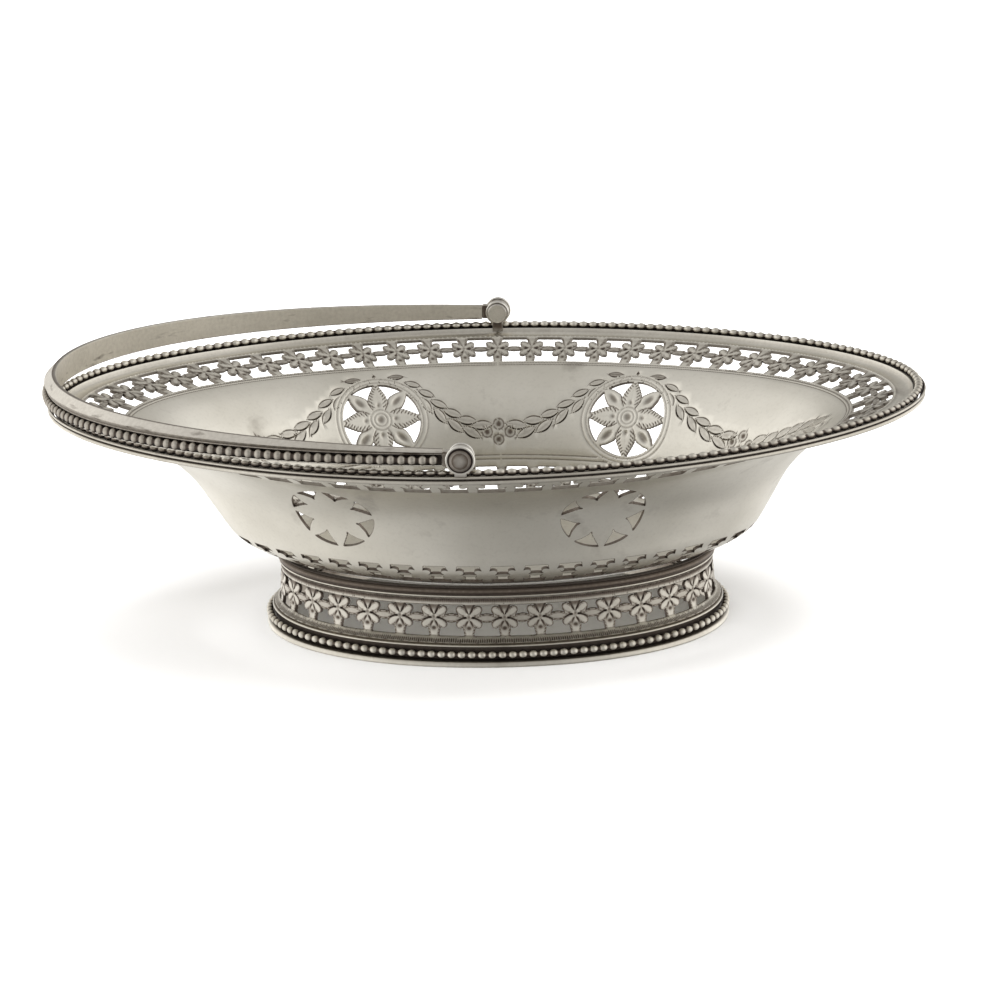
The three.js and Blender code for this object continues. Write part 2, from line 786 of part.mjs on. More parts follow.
function handleBeadWire() {
  const outward = strapBack / 2 + seatGap + handleBeadRadius;
  const section = (angle) => roundSection(outward, beadLine(strapWidth(angle)), handleBeadRadius);
  return named('handle_bead_wire', archSweep(section), finish.wire);
}

const basket = new THREE.Group();
basket.add(bowl(), rimBorderStrip(), rimBeadWire());
basket.add(footCollar(), footBand(), footBaseRing(), footBeadWire());

// Both groups hang on the hinge line
function onHingeLine() {
  const group = new THREE.Group();
  group.position.set(hingeShift, 0, pivotHeight);
  group.rotation.set(0, 0, THREE.MathUtils.degToRad(hingeTurn));
  return group;
}

const hinges = onHingeLine();
for (const rear of [false, true]) {
  const side = rear ? 'rear' : 'front';
  hinges.add(hingePart(`hinge_ear_${side}_inner`, innerEar(), rear, finish.hinge));
  hinges.add(hingePart(`hinge_ear_${side}_outer`, outerEar(), rear, finish.hinge));
  hinges.add(hingePart(`pivot_pin_${side}`, pivotPin(), rear, finish.hinge));
}
basket.add(hinges);

const folded = onHingeLine();
const handle = new THREE.Group();
handle.rotation.y = THREE.MathUtils.degToRad(handleTilt);
handle.add(handleStrap(), handleBeadWire());
for (const rear of [false, true]) {
  const side = rear ? 'rear' : 'front';
  handle.add(named(`handle_knuckle_${side}`, toGeometry(mirroredKnuckle(rear)), finish.strap));
}
folded.add(handle);
basket.add(folded);

export default basket;
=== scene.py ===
import json
import math
import bpy
import numpy as np
from mathutils import Matrix, Vector
from mathutils.geometry import delaunay_2d_cdt
from mathutils.kdtree import KDTree


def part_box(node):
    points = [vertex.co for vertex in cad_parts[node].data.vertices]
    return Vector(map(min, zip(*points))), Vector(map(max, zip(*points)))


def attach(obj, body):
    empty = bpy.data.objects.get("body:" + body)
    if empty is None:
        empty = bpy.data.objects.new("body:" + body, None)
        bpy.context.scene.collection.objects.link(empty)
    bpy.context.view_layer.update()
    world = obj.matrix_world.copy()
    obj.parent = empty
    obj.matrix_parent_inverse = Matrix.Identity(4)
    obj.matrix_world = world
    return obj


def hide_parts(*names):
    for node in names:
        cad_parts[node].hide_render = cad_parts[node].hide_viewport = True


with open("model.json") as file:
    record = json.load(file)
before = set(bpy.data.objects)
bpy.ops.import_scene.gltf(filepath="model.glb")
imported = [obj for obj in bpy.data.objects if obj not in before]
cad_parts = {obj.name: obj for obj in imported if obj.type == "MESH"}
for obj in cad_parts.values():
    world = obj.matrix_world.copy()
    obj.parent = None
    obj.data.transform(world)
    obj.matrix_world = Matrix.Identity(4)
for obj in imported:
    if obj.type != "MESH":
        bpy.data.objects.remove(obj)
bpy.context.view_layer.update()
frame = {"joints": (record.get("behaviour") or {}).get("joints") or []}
mm = 0.001
turn = 2 * math.pi
rear = math.pi / 2    # the angle of the oval's middle on the far side
ovalSteps = 2880    # of the measured way round an oval


# Camera, at the photograph's place
cameraSetup = {
    "target": (-0.742, 0.0, 16.39),    # mm
    "distance": 666.6,
    "azimuth": 3.41,    # degrees
    "elevation": 17.08,
    "roll": -1.742,
    "focal": 3355.2,    # in pixels of a frame 1000 wide
    "lensMiddle": (485, 535),
    "frameSize": 1000,
}


def makeCamera(setup):
    azimuth, elevation, roll = (math.radians(setup[k]) for k in ("azimuth", "elevation", "roll"))
    level = math.cos(elevation)
    back = Vector((math.sin(azimuth) * level, -math.cos(azimuth) * level, math.sin(elevation)))
    right = (-back).cross(Vector((0, 0, 1))).normalized()
    up = right.cross(-back)
    turnedRight = math.cos(roll) * right + math.sin(roll) * up
    turnedUp = math.cos(roll) * up - math.sin(roll) * right
    data = bpy.data.cameras.new("camera")
    data.lens = setup["focal"] * data.sensor_width / setup["frameSize"]
    data.shift_x = 0.5 - setup["lensMiddle"][0] / setup["frameSize"]
    data.shift_y = setup["lensMiddle"][1] / setup["frameSize"] - 0.5
    data.clip_start = 0.05
    camera = bpy.data.objects.new("camera", data)
    bpy.context.scene.collection.objects.link(camera)
    place = (Vector(setup["target"]) + back * setup["distance"]) * mm
    axes = Matrix((turnedRight, turnedUp, back)).transposed().to_4x4()
    camera.matrix_world = Matrix.Translation(place) @ axes
    bpy.context.scene.camera = camera


makeCamera(cameraSetup)


# Materials. Each mesh carries its tarnish and painted shade, how milled it is, and the distance along its
# run.
def node(tree, kind, **settings):
    made = tree.nodes.new(kind)
    for name, value in settings.items():
        if hasattr(made, name):
            setattr(made, name, value)
        else:
            made.inputs[name.replace("_", " ")].default_value = value
    return made


def give(tree, socket, value):
    # a socket takes another one's output, a number or a colour
    if isinstance(value, bpy.types.NodeSocket):
        tree.links.new(value, socket)
    else:
        socket.default_value = (*value, 1.0) if isinstance(value, tuple) else value


def calc(tree, kind, *values, clamp=False):
    made = node(tree, "ShaderNodeMath", operation=kind, use_clamp=clamp)
    for socket, value in zip(made.inputs, values):
        give(tree, socket, value)
    return made.outputs[0]


def between(tree, value, limits, most=1.0):
    made = node(tree, "ShaderNodeMapRange", From_Min=limits[0], From_Max=limits[1], To_Max=most)
    give(tree, made.inputs["Value"], value)
    return made.outputs["Result"]


def silver(name, look):
    material = bpy.data.materials.new(name)
    material.use_nodes = True
    tree = material.node_tree
    shader = tree.nodes["Principled BSDF"]
    shader.inputs["Metallic"].default_value = 1.0
    place = node(tree, "ShaderNodeTexCoord").outputs["Object"]
    tarnishAndShade, milled, run = (node(tree, "ShaderNodeAttribute", attribute_name=mark).outputs["Fac"]
                            for mark in ("tarnishAndShade", "milled", "run"))

    def noise(scale, detail, stretch=None):
        at = place
        if stretch:
            mapping = node(tree, "ShaderNodeMapping", Scale=stretch)
            give(tree, mapping.inputs["Vector"], place)
            at = mapping.outputs["Vector"]
        made = node(tree, "ShaderNodeTexNoise", Scale=scale, Detail=detail)
        give(tree, made.inputs["Vector"], at)
        return made.outputs["Fac"]

    def times(a, b, clamp=False):
        return calc(tree, "MULTIPLY", a, b, clamp=clamp)

    def plus(a, b, clamp=False):
        return calc(tree, "ADD", a, b, clamp=clamp)

    def mix(share, a, b):
        made = node(tree, "ShaderNodeMix", data_type="RGBA")
        for socket, value in ((made.inputs[0], share), (made.inputs[6], a), (made.inputs[7], b)):
            give(tree, socket, value)
        return made.outputs[2]

    # how dark: the mesh's tarnish and painted shade, specks, stains and the milled lines
    clouds = noise(look["cloudScale"], 3.0)
    grain = noise(look["grainScale"], 2.0)
    wave = calc(tree, "SINE", times(run, turn / look["millPitch"]))
    mill = times(plus(times(wave, 0.5), 0.5), milled)
    speckle = times(plus(grain, -0.5), look["speckle"])
    stains = noise(look["stainScale"], 4.0, look["stainStretch"])
    stains = between(tree, stains, look["stainRange"], look["stains"])
    dark = plus(plus(plus(tarnishAndShade, speckle), stains), times(mill, look["millDark"]), True)

    clean = mix(between(tree, clouds, look["hazeRange"]), look["light"], look["dull"])
    brown = mix(times(dark, look["brownGain"], True), clean, look["brown"])
    black = mix(times(plus(dark, -0.5), 2.0, True), brown, look["black"])
    give(tree, shader.inputs["Base Color"], black)
    rough = plus(look["rough"], times(clouds, look["roughSpread"]))
    give(tree, shader.inputs["Roughness"], plus(rough, times(dark, look["darkRough"]), True))

    scratches = noise(look["scratchScale"], 1.0, look["scratchStretch"])
    height = plus(times(scratches, look["scratches"]), times(grain, look["grainHeight"]))
    height = plus(plus(height, times(clouds, look["hammered"])), times(mill, look["millHeight"]))
    bump = node(tree, "ShaderNodeBump", Strength=1.0, Distance=look["bumpDepth"])
    give(tree, bump.inputs["Height"], height)
    give(tree, shader.inputs["Normal"], bump.outputs["Normal"])
    return material


sheetLook = {
    "light": (0.84, 0.815, 0.74),
    "dull": (0.70, 0.675, 0.60),
    "brown": (0.17, 0.14, 0.115),
    "black": (0.03, 0.024, 0.024),
    "rough": 0.24,
    "roughSpread": 0.2,
    "darkRough": 0.3,
    "brownGain": 1.9,    # how soon tarnish and painted shade turn brown
    "cloudScale": 48.0,    # per metre, as the other scales are
    "hazeRange": (0.35, 0.7),
    "grainScale": 1400.0,
    "grainHeight": 0.25,
    "speckle": 0.14,
    "stainScale": 120.0,
    "stainStretch": (1.0, 1.0, 1.0),
    "stainRange": (0.62, 0.76),
    "stains": 0.16,
    "millPitch": 0.45,    # mm
    "millDark": 0.45,
    "millHeight": -3.0,
    "scratchScale": 260.0,
    "scratchStretch": (1.0, 1.0, 9.0),
    "scratches": 0.5,
    "hammered": 2.0,
    "bumpDepth": 0.00002,    # m
}
wireLook = {
    **sheetLook,
    "light": (0.82, 0.79, 0.71),
    "dull": (0.66, 0.63, 0.55),
    "rough": 0.2,
    "speckle": 0.16,
}
hingeLook = {
    **sheetLook,
    "light": (0.86, 0.84, 0.79),
    "dull": (0.78, 0.76, 0.69),
    "rough": 0.15,
    "hammered": 0.6,
}
strapLook = {
    **sheetLook,
    "light": (0.89, 0.855, 0.78),
    "dull": (0.74, 0.71, 0.635),
    "speckle": 0.2,
    "stainScale": 260.0,
    "stainStretch": (0.5, 0.5, 2.4),
    "stains": 0.4,
    "scratchStretch": (0.6, 0.6, 12.0),
}
sheetSilver = silver("old_silver_sheet", sheetLook)
wireSilver = silver("old_silver_wire", wireLook)
hingeSilver = silver("worn_silver_hinges", hingeLook)
strapSilver = silver("old_silver_strap", strapLook)
print("materials ready")


# Meshes come in millimetres. Facets that meet at more than the crease angle stay sharp.
def makePiece(name, points, faces, material, body, solid, marks, crease=38):
    mesh = bpy.data.meshes.new(name)
    mesh.from_pydata((np.asarray(points) * mm).tolist(), [], [list(map(int, face)) for face in faces])
    for mark in ("tarnishAndShade", "milled", "run"):
        values = marks.get(mark, 0.0)
        layer = mesh.attributes.new(mark, "FLOAT", "POINT")
        layer.data.foreach_set("value", np.broadcast_to(values, len(points)).astype(np.float32))
    mesh.validate()
    mesh.polygons.foreach_set("use_smooth", [True] * len(mesh.polygons))
    mesh.set_sharp_from_angle(angle=math.radians(crease))
    mesh.materials.append(material)
    piece = bpy.data.objects.new(name, mesh)
    bpy.context.scene.collection.objects.link(piece)
    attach(piece, body)
    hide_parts(solid)


def smoothStep(value, low, high):
    share = np.clip((value - low) / (high - low), 0, 1)
    return share * share * (3 - 2 * share)


def ovalPoint(halfLength, halfWidth, pinch, angle):
    draw = 1 - pinch * np.sin(2 * angle) ** 2
    return halfLength * np.cos(angle) * draw, halfWidth * np.sin(angle) * draw


def runLength(line):
    # the distance of each point of a line from its first
    return np.concatenate([[0], np.cumsum(np.linalg.norm(np.diff(line, axis=0), axis=1))])


def pointsAlong(line, length, places):
    return np.stack([np.interp(places, length, row) for row in line.T], -1)


def evenTurns(pointAt, count, start=rear):
    # angles that space copies evenly along a closed curve, and the curve's length
    angles = start + np.linspace(0, turn, ovalSteps + 1)
    length = runLength(pointAt(angles))
    return np.interp(np.arange(count + 1) * length[-1] / count, length, angles), length[-1]


# Rim and foot, taken from the frame
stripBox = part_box("rim_border_strip")
rim = {
    "strip": 1.4,    # mm, from the middle of the beads to the outer edge
    "pinch": 0.021,
    "endRise": 0.9,
    "height": 45.6,
}
rim["halfLength"] = stripBox[1].x / mm - rim["strip"]
rim["halfWidth"] = stripBox[1].y / mm - rim["strip"]
bowlLow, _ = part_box("bowl")
bandLow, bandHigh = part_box("foot_band")
baseLow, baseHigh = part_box("foot_base_ring")
footShift = (baseLow.x + baseHigh.x) / 2 / mm


# Bowl surface: level 0 is the edge of the floor, 7 to 8 the upper pierced row, 9 the lip
bowlShape = {
    "sheet": 0.7,    # mm
    "floorHalf": (28.2, 43.0),    # side, end
    "wall": (
        # reach and height as shares, at the side and at the end
        ((0.12, 0.05), (0.12, 0.04)),
        ((0.24, 0.13), (0.25, 0.11)),
        ((0.31, 0.23), (0.33, 0.19)),
        ((0.35, 0.38), (0.42, 0.35)),
        ((0.48, 0.65), (0.58, 0.63)),
        ((0.76, 0.89), (0.82, 0.88)),
    ),
    # how far the upper row and the flange run in and down, at the side and at the end
    "rowWidth": (4.2, 7.9),
    "rowFall": (4.0, 2.8),
    "flangeWidth": (4.6, 4.8),
    "flangeFall": (0.5, 0.5),
    "lipDrop": 1.8,    # the lip's underside lies this far under the beads' line
}
wallLevels = len(bowlShape["wall"]) + 1
rowTop, lip = wallLevels + 1, wallLevels + 2


def bowlLine(part):
    reachOut = (rim["halfWidth"], rim["halfLength"])[part]
    floorReach, floorZ = bowlShape["floorHalf"][part], bowlLow.z / mm
    lipZ = rim["height"] - bowlShape["lipDrop"] + rim["endRise"] * part
    flange = (reachOut - bowlShape["flangeWidth"][part], lipZ - bowlShape["flangeFall"][part])
    row = (flange[0] - bowlShape["rowWidth"][part], flange[1] - bowlShape["rowFall"][part])
    line = [(floorReach, floorZ)]
    for level in bowlShape["wall"]:
        reach, height = level[part]
        line.append((floorReach + (row[0] - floorReach) * reach, floorZ + (row[1] - floorZ) * height))
    return np.array(line + [row, flange, (reachOut, lipZ)])


sideLine, endLine = bowlLine(0), bowlLine(1)


def alongLine(line, level):
    # a smooth curve up to the row, and straight above it
    level = np.clip(level, 0, lip)
    low = np.minimum(level.astype(int), lip - 1)
    share = (level - low)[:, None]
    wall = line[:wallLevels + 1]
    before, here = wall[np.clip(low - 1, 0, wallLevels)], wall[np.clip(low, 0, wallLevels)]
    after, later = wall[np.clip(low + 1, 0, wallLevels)], wall[np.clip(low + 2, 0, wallLevels)]
    into, out = (after - before) / 2, (later - here) / 2
    cubic, square = 2 * here - 2 * after + into + out, 3 * after - 3 * here - 2 * into - out
    curve = cubic * share ** 3 + square * share ** 2 + into * share + here
    straight = line[low] * (1 - share) + line[low + 1] * share
    return np.where(low[:, None] < wallLevels, curve, straight)


def bowlPoint(angle, level):
    angle, level = np.broadcast_arrays(np.asarray(angle, float), np.asarray(level, float))
    side, end = alongLine(sideLine, level), alongLine(endLine, level)
    x, y = ovalPoint(end[:, 0], side[:, 0], rim["pinch"], angle)
    z = side[:, 1] + (end[:, 1] - side[:, 1]) * np.cos(angle) ** 2
    top = sideLine[rowTop, 1]
    lean = footShift * np.clip((top - side[:, 1]) / (top - bowlLow.z / mm), 0, 1)
    return np.stack([x + lean, y, z], 1)


def slopes(pointAt, angle, level, step):
    # how the surface runs around and upwards at each place
    around = pointAt(angle + step, level) - pointAt(angle - step, level)
    return around, pointAt(angle, level + step * 5) - pointAt(angle, level - step * 5)


def surfaceNormal(pointAt, angle, level):
    # towards the inside of the bowl or foot
    around, up = slopes(pointAt, angle, level, 0.004)
    normal = np.cross(up, around)
    return normal / np.linalg.norm(normal, axis=1)[:, None]


def walkLevel(angle, level, distance, strides=8):
    angle, level, distance = (np.array(x, float) for x in np.broadcast_arrays(angle, level, distance))
    step = 0.02
    for _ in range(strides):
        ends = bowlPoint(angle, level + step), bowlPoint(angle, level - step)
        rate = np.linalg.norm(ends[0] - ends[1], axis=1) / (2 * step)
        level = level + distance / strides / rate
    return level


# Flat plans: outlines of holes are traced from a field that is above 0 in the hole
def traceHoles(fieldAt, us, vs, spacing, least=0.12):
    # loops of points a spacing apart, leaving out specks of less than the least area
    grid = fieldAt(*np.meshgrid(us, vs, indexing="ij"))
    nextOf = {}
    for i, j in np.ndindex(len(us) - 1, len(vs) - 1):
        corners = ((i, j), (i + 1, j), (i + 1, j + 1), (i, j + 1))
        values = [grid[c] for c in corners]
        if min(values) > 0 or max(values) <= 0:
            continue
        crossings = []
        for k in range(4):
            a, b = corners[k], corners[(k + 1) % 4]
            if (grid[a] > 0) != (grid[b] > 0):
                share = grid[a] / (grid[a] - grid[b])
                point = (us[a[0]] + (us[b[0]] - us[a[0]]) * share, vs[a[1]] + (vs[b[1]] - vs[a[1]]) * share)
                crossings.append((grid[a] > 0, tuple(sorted((a, b))), point))
        while not crossings[0][0]:
            crossings.append(crossings.pop(0))
        for start, end in zip(crossings[::2], crossings[1::2]):
            nextOf[start[1]] = (end[1], start[2])
    loops = []
    while nextOf:
        key = next(iter(nextOf))
        loop = []
        while key in nextOf:
            key, point = nextOf.pop(key)
            loop.append(point)
        loop = np.array(loop)
        ahead = np.roll(loop, -1, axis=0)
        if abs(np.sum(loop[:, 0] * ahead[:, 1] - loop[:, 1] * ahead[:, 0])) / 2 < least:
            continue
        closed = np.vstack([loop, loop[:1]])
        length = runLength(closed)
        count = max(8, round(length[-1] / spacing))
        loops.append(pointsAlong(closed, length, np.arange(count) * length[-1] / count))
    return loops


def hexGrid(low, high, spacing):
    rows = np.arange(low[1], high[1], spacing * math.sqrt(0.75))
    columns = np.arange(low[0], high[0], spacing)
    grid = [np.stack([columns + (spacing / 2 if k % 2 else 0), np.full(len(columns), v)], 1)
            for k, v in enumerate(rows)]
    return np.concatenate(grid)


def farFrom(spots, taken, distance):
    tree = KDTree(len(taken))
    for k, (x, y) in enumerate(taken):
        tree.insert((x, y, 0), k)
    tree.balance()
    return np.array([tree.find((x, y, 0))[2] > distance for x, y in spots])


def fillPlan(spots, loops, border):
    # triangles between the spots, left open inside the loops, all turning the same way
    edges = [(loop[k], loop[(k + 1) % len(loop)]) for loop in loops for k in range(len(loop))] + border
    edges = [tuple(map(int, edge)) for edge in edges]
    _, _, found, sources, *_ = delaunay_2d_cdt([Vector(spot) for spot in spots], edges, [], 0, 1e-7, True)
    source = np.array([ids[0] if ids else -1 for ids in sources])
    faces = source[np.array([face for face in found if len(face) == 3])]
    faces = faces[(faces >= 0).all(1)]
    a, b, c = (spots[faces[:, k]] for k in range(3))
    area = (b[:, 0] - a[:, 0]) * (c[:, 1] - a[:, 1]) - (b[:, 1] - a[:, 1]) * (c[:, 0] - a[:, 0])
    faces[area < 0] = faces[area < 0][:, ::-1]
    faces = faces[np.abs(area) > 1e-7]
    loopOf, placeIn = np.full(len(spots), -1), np.zeros(len(spots), int)
    sizes = np.array([len(loop) for loop in loops] + [1])
    for k, loop in enumerate(loops):
        loopOf[loop] = k
        placeIn[loop] = np.arange(len(loop))
    same = (loopOf[faces] == loopOf[faces[:, :1]]).all(1) & (loopOf[faces[:, 0]] >= 0)
    size = sizes[loopOf[faces[:, 0]]]
    place = placeIn[faces]
    around = sum((place[:, (k + 1) % 3] - place[:, k]) % size for k in range(3))
    return faces[~(same & (around == size))]


# Shapes of the pierced work, as fields below 0 on the metal. Distances are in mm.
def petal(row, u, v, tip):
    # from the floret's middle to its tip
    length = math.hypot(*tip)
    along, across = (u * tip[0] + v * tip[1]) / length, np.abs(v * tip[0] - u * tip[1]) / length
    share = np.clip(along / length, 0, 1)
    width = row["petalWidth"] * np.sin(np.pi * share ** row["petalBelly"]) ** row["petalRound"]
    beyond = np.maximum(np.maximum(-along, along - length), 0)
    return np.where(beyond > 0, np.hypot(beyond, across), across - width)


def tapered(across, along, places, widths):
    # half widths given at places along the shape
    beyond = np.maximum(np.maximum(places[0] - along, along - places[-1]), 0)
    aside = np.abs(across) - np.interp(along, places, widths)
    return np.hypot(beyond, np.maximum(aside, 0)) + np.where(beyond > 0, 0, np.minimum(aside, 0))


def floretFields(row, u, v):
    # one gap between two florets, from the middle of one at 0 to the next at a pitch
    pitch = row["pitch"]
    u = np.minimum(u, pitch - u)
    hub = np.hypot(u, v)
    linkPlaces = (0, *row["linkPlaces"], pitch / 2)
    flower = [
        petal(row, u, v, row["upperTip"]),
        petal(row, u, v, row["lowerTip"]),
        tapered(u, v, row["fanPlaces"], row["fanWidths"]),
        tapered(u, -v, row["stemPlaces"], row["stemWidths"]),
        tapered(v - row["linkMiddle"], pitch / 2 - u, linkPlaces, row["linkWidths"]),
    ]
    return np.array(flower), hub


def rowHoles(row, u, v):
    fields, hub = floretFields(row, u, v)
    metal = np.minimum(fields.min(0), hub - row["hub"])
    return np.minimum(metal, np.minimum(row["top"] - v, v - row["bottom"]))


floretCuts = {
    # depth in mm, tarnish
    "seam": (0.24, 0.9),    # where two forms meet
    "contour": (0.09, 0.45),    # inside each outline
    "hollow": (0.06, 0.05),
    "dot": (0.15, 0.35),    # at the middle of a floret
    "edge": (0.08, 0.2),    # round the holes
    "stem": (0.15, 0.6),    # the spot on a stem
}


def stroke(distance, width):
    return np.exp(-(distance / width) ** 2)


def engraved(cuts, parts):
    # depth and tarnish, each summed over the parts of the work
    return [sum(cuts[name][k] * part for name, part in parts.items()) for k in (0, 1)]


def rowEngraving(row, u, v):
    fields, hub = floretFields(row, u, v)
    edge, second = np.sort(fields, axis=0)[:2]
    nearest = np.argmin(fields, axis=0)
    inside = (v < row["top"]) & (v > row["bottom"])
    fromStem = np.minimum(u, row["pitch"] - u)
    cuts = {**floretCuts, "link": (0, row["linkDark"]), "fan": (0, row["fanDark"])}
    depth, dark = engraved(cuts, {
        "seam": stroke(second - edge, 0.16) * smoothStep(hub, 0.3, 0.7) * inside,
        "contour": stroke(edge + 0.27, 0.1) * smoothStep(hub, 0.7, 1.1) * inside,
        "hollow": smoothStep(-edge, 0.24, 0.4) * inside,
        "dot": (1 - smoothStep(hub, 0.2, 0.45)) * inside,
        "link": (nearest == 4) * smoothStep(-edge, 0.15, 0.45) * inside,
        "edge": stroke(rowHoles(row, u, v), 0.1),
        "fan": (nearest == 2) * smoothStep(v, 1.0, 2.0) * inside,
        "stem": np.exp(-((fromStem / 0.5) ** 2 + ((v - row["stemSpot"]) / 0.35) ** 2)),
    })
    return depth, np.clip(dark, 0, 1)


upperRow = {
    "florets": 56,
    "pitch": 7.08,    # mm
    "top": 2.37,    # of the pierced part, from the florets' middles
    "bottom": -3.56,
    "hub": 1.25,    # radius of whole metal
    "upperTip": (2.3, 1.35),
    "lowerTip": (2.35, -1.7),
    "petalWidth": 0.74,
    "petalBelly": 1.35,    # above 1 the petal is widest past its middle
    "petalRound": 0.48,
    "fanPlaces": (0.2, 1.6, 2.9),
    "fanWidths": (0.02, 0.85, 1.3),
    "stemPlaces": (0.3, 2.1, 4.2),
    "stemWidths": (0.05, 1.05, 0.85),
    "linkMiddle": -0.1,
    "linkPlaces": (0.9, 1.7),
    "linkWidths": (0.52, 0.46, 0.2, 0.2),
    "stemSpot": -2.3,
    "linkDark": 0.15,    # tarnish
    "fanDark": 0.15,
    "edgeDark": 0.4,
}
lowerRow = {
    **upperRow,
    "florets": 42,
    "pitch": 6.3,
    "top": 2.6,
    "bottom": -3.5,
    "upperTip": (2.05, 1.35),
    "lowerTip": (2.1, -1.6),
    "petalWidth": 0.8,
    "fanPlaces": (0.2, 1.8, 3.2),
    "fanWidths": (0.02, 0.9, 1.25),
    "linkPlaces": (0.8, 1.5),
    "edgeDark": 0.5,
}
footRow = {
    **upperRow,
    "florets": 34,
    "pitch": 6.9,
    "top": 2.3,
    "bottom": -3.6,
    "upperTip": (2.45, 1.75),
    "lowerTip": (2.4, -1.95),
    "petalWidth": 0.9,
    "petalBelly": 1.45,
    "fanPlaces": (0.2, 1.8, 2.9),
    "fanWidths": (0.02, 1.0, 1.45),
    "stemPlaces": (0.3, 2.3, 4.2),
    "stemWidths": (0.05, 1.2, 0.8),
    "linkMiddle": -0.25,
    "linkPlaces": (0.85, 2.0),
    "linkWidths": (0.9, 0.78, 0.32, 0.25),
    "stemSpot": -2.2,
    "linkDark": 0.1,
    "fanDark": 0.35,
    "edgeDark": 0.6,
}


def rowPlan(row, spacing, grain):
    # the holes and the engraved spots of one gap
    step = 0.06
    us = np.arange(-step, row["pitch"] + 0.07, step)
    vs = np.arange(row["bottom"] - 2 * step, row["top"] + 0.13, step)
    holes = traceHoles(lambda u, v: rowHoles(row, u, v), us, vs, spacing)
    spots = hexGrid((0.1, row["bottom"] - 0.3), (row["pitch"] - 0.05, row["top"] + 0.35), grain)
    return holes, spots[rowHoles(row, *spots.T) < -0.1]


# Roundels: a ring, four large serrated leaves, four small ones between them, and a hub
roundel = {
    "level": 0.714,    # share of the wall line
    "spacing": 52.2,    # mm
    "shift": 2.0,    # the far pair stands this far to the right, the near pair to the left
    "radius": 8.2,
    "hub": 2.3,
    # half widths of the large and the small leaves, by distance from the middle
    "leafPlaces": (2.0, 2.9, 3.9, 5.2, 6.8, 8.6),
    "leafWidths": (1.2, 1.8, 2.15, 1.95, 1.2, 0.3),
    "budPlaces": (2.2, 3.4, 5.3, 7.0, 8.6),
    "budWidths": (0.5, 1.3, 1.75, 1.3, 0.4),
    "teeth": 0.82,    # mm between the teeth
    "traceStep": 0.09,
    "hubRings": (1.35, 2.15),
    "borders": (8.75, 9.7),
    "grain": 0.22,
    "cuts": {
        # depth in mm, tarnish
        "strokes": (0.12, 0.85),
        "midrib": (0.08, 0.3),
        "outline": (0.1, 0.65),
        "dimples": (0.2, 0),
        "shade": (0, 0.4),    # of the dimples
        "rings": (0.1, 0.3),
        "edge": (0.08, 0.2),
    },
}


def roundelFields(u, v):
    angle, radius = np.arctan2(v, u), np.hypot(u, v)
    quarter = turn / 4
    leafTurn = angle - np.round(angle / quarter) * quarter
    budTurn = angle - (np.round(angle / quarter - 0.5) + 0.5) * quarter
    along, across = radius * np.cos(leafTurn), radius * np.sin(leafTurn)
    tooth = 0.14 * (((along - np.abs(across) * 0.4) / roundel["teeth"]) % 1 - 0.5)
    leaf = tapered(across, along, roundel["leafPlaces"], roundel["leafWidths"]) + tooth * (along > 2.6)
    budAcross = radius * np.sin(budTurn)
    bud = tapered(budAcross, radius * np.cos(budTurn), roundel["budPlaces"], roundel["budWidths"])
    return leaf, bud, radius, along, across, budAcross


def roundelHoles(u, v):
    leaf, bud, radius, *_ = roundelFields(u, v)
    work = np.minimum(np.minimum(leaf, bud), radius - roundel["hub"])
    return np.minimum(work, roundel["radius"] - radius)


def roundelEngraving(u, v):
    leaf, bud, radius, along, across, budAcross = roundelFields(u, v)
    within = radius < roundel["radius"]
    teeth = roundel["teeth"]
    vein = np.abs(((along - np.abs(across) * 0.9) / teeth + 0.3) % 1 - 0.5) * teeth
    onLeaf = smoothStep(-leaf, 0.05, 0.3) * (along > 2.7) * within
    outline = stroke(bud + 0.16, 0.1) * (leaf > 0.1) * within * (radius > 3) * 0.6
    dimples = (np.exp(-((radius / 0.75) ** 4))
               + np.exp(-(((along - 3.2) / 0.45) ** 2 + (across / 0.4) ** 2))
               + np.exp(-((((radius - 5.6) / 1.3) ** 2 + (budAcross / 0.6) ** 2)) ** 2))
    depth, dark = engraved(roundel["cuts"], {
        "strokes": stroke(vein, 0.13) * onLeaf * (1 - smoothStep(-leaf, 0.75, 1.15)),
        "midrib": stroke(across, 0.12) * onLeaf * 0.15,
        "outline": outline + stroke(leaf, 0.12) * (bud < 0) * within * (radius > 2.4),
        "dimples": np.minimum(dimples, 1),
        "shade": dimples,
        "rings": sum(stroke(radius - ring, 0.14) for ring in (*roundel["hubRings"], *roundel["borders"])),
        "edge": stroke(roundelHoles(u, v), 0.1),
    })
    return depth, np.clip(dark, 0, 1)


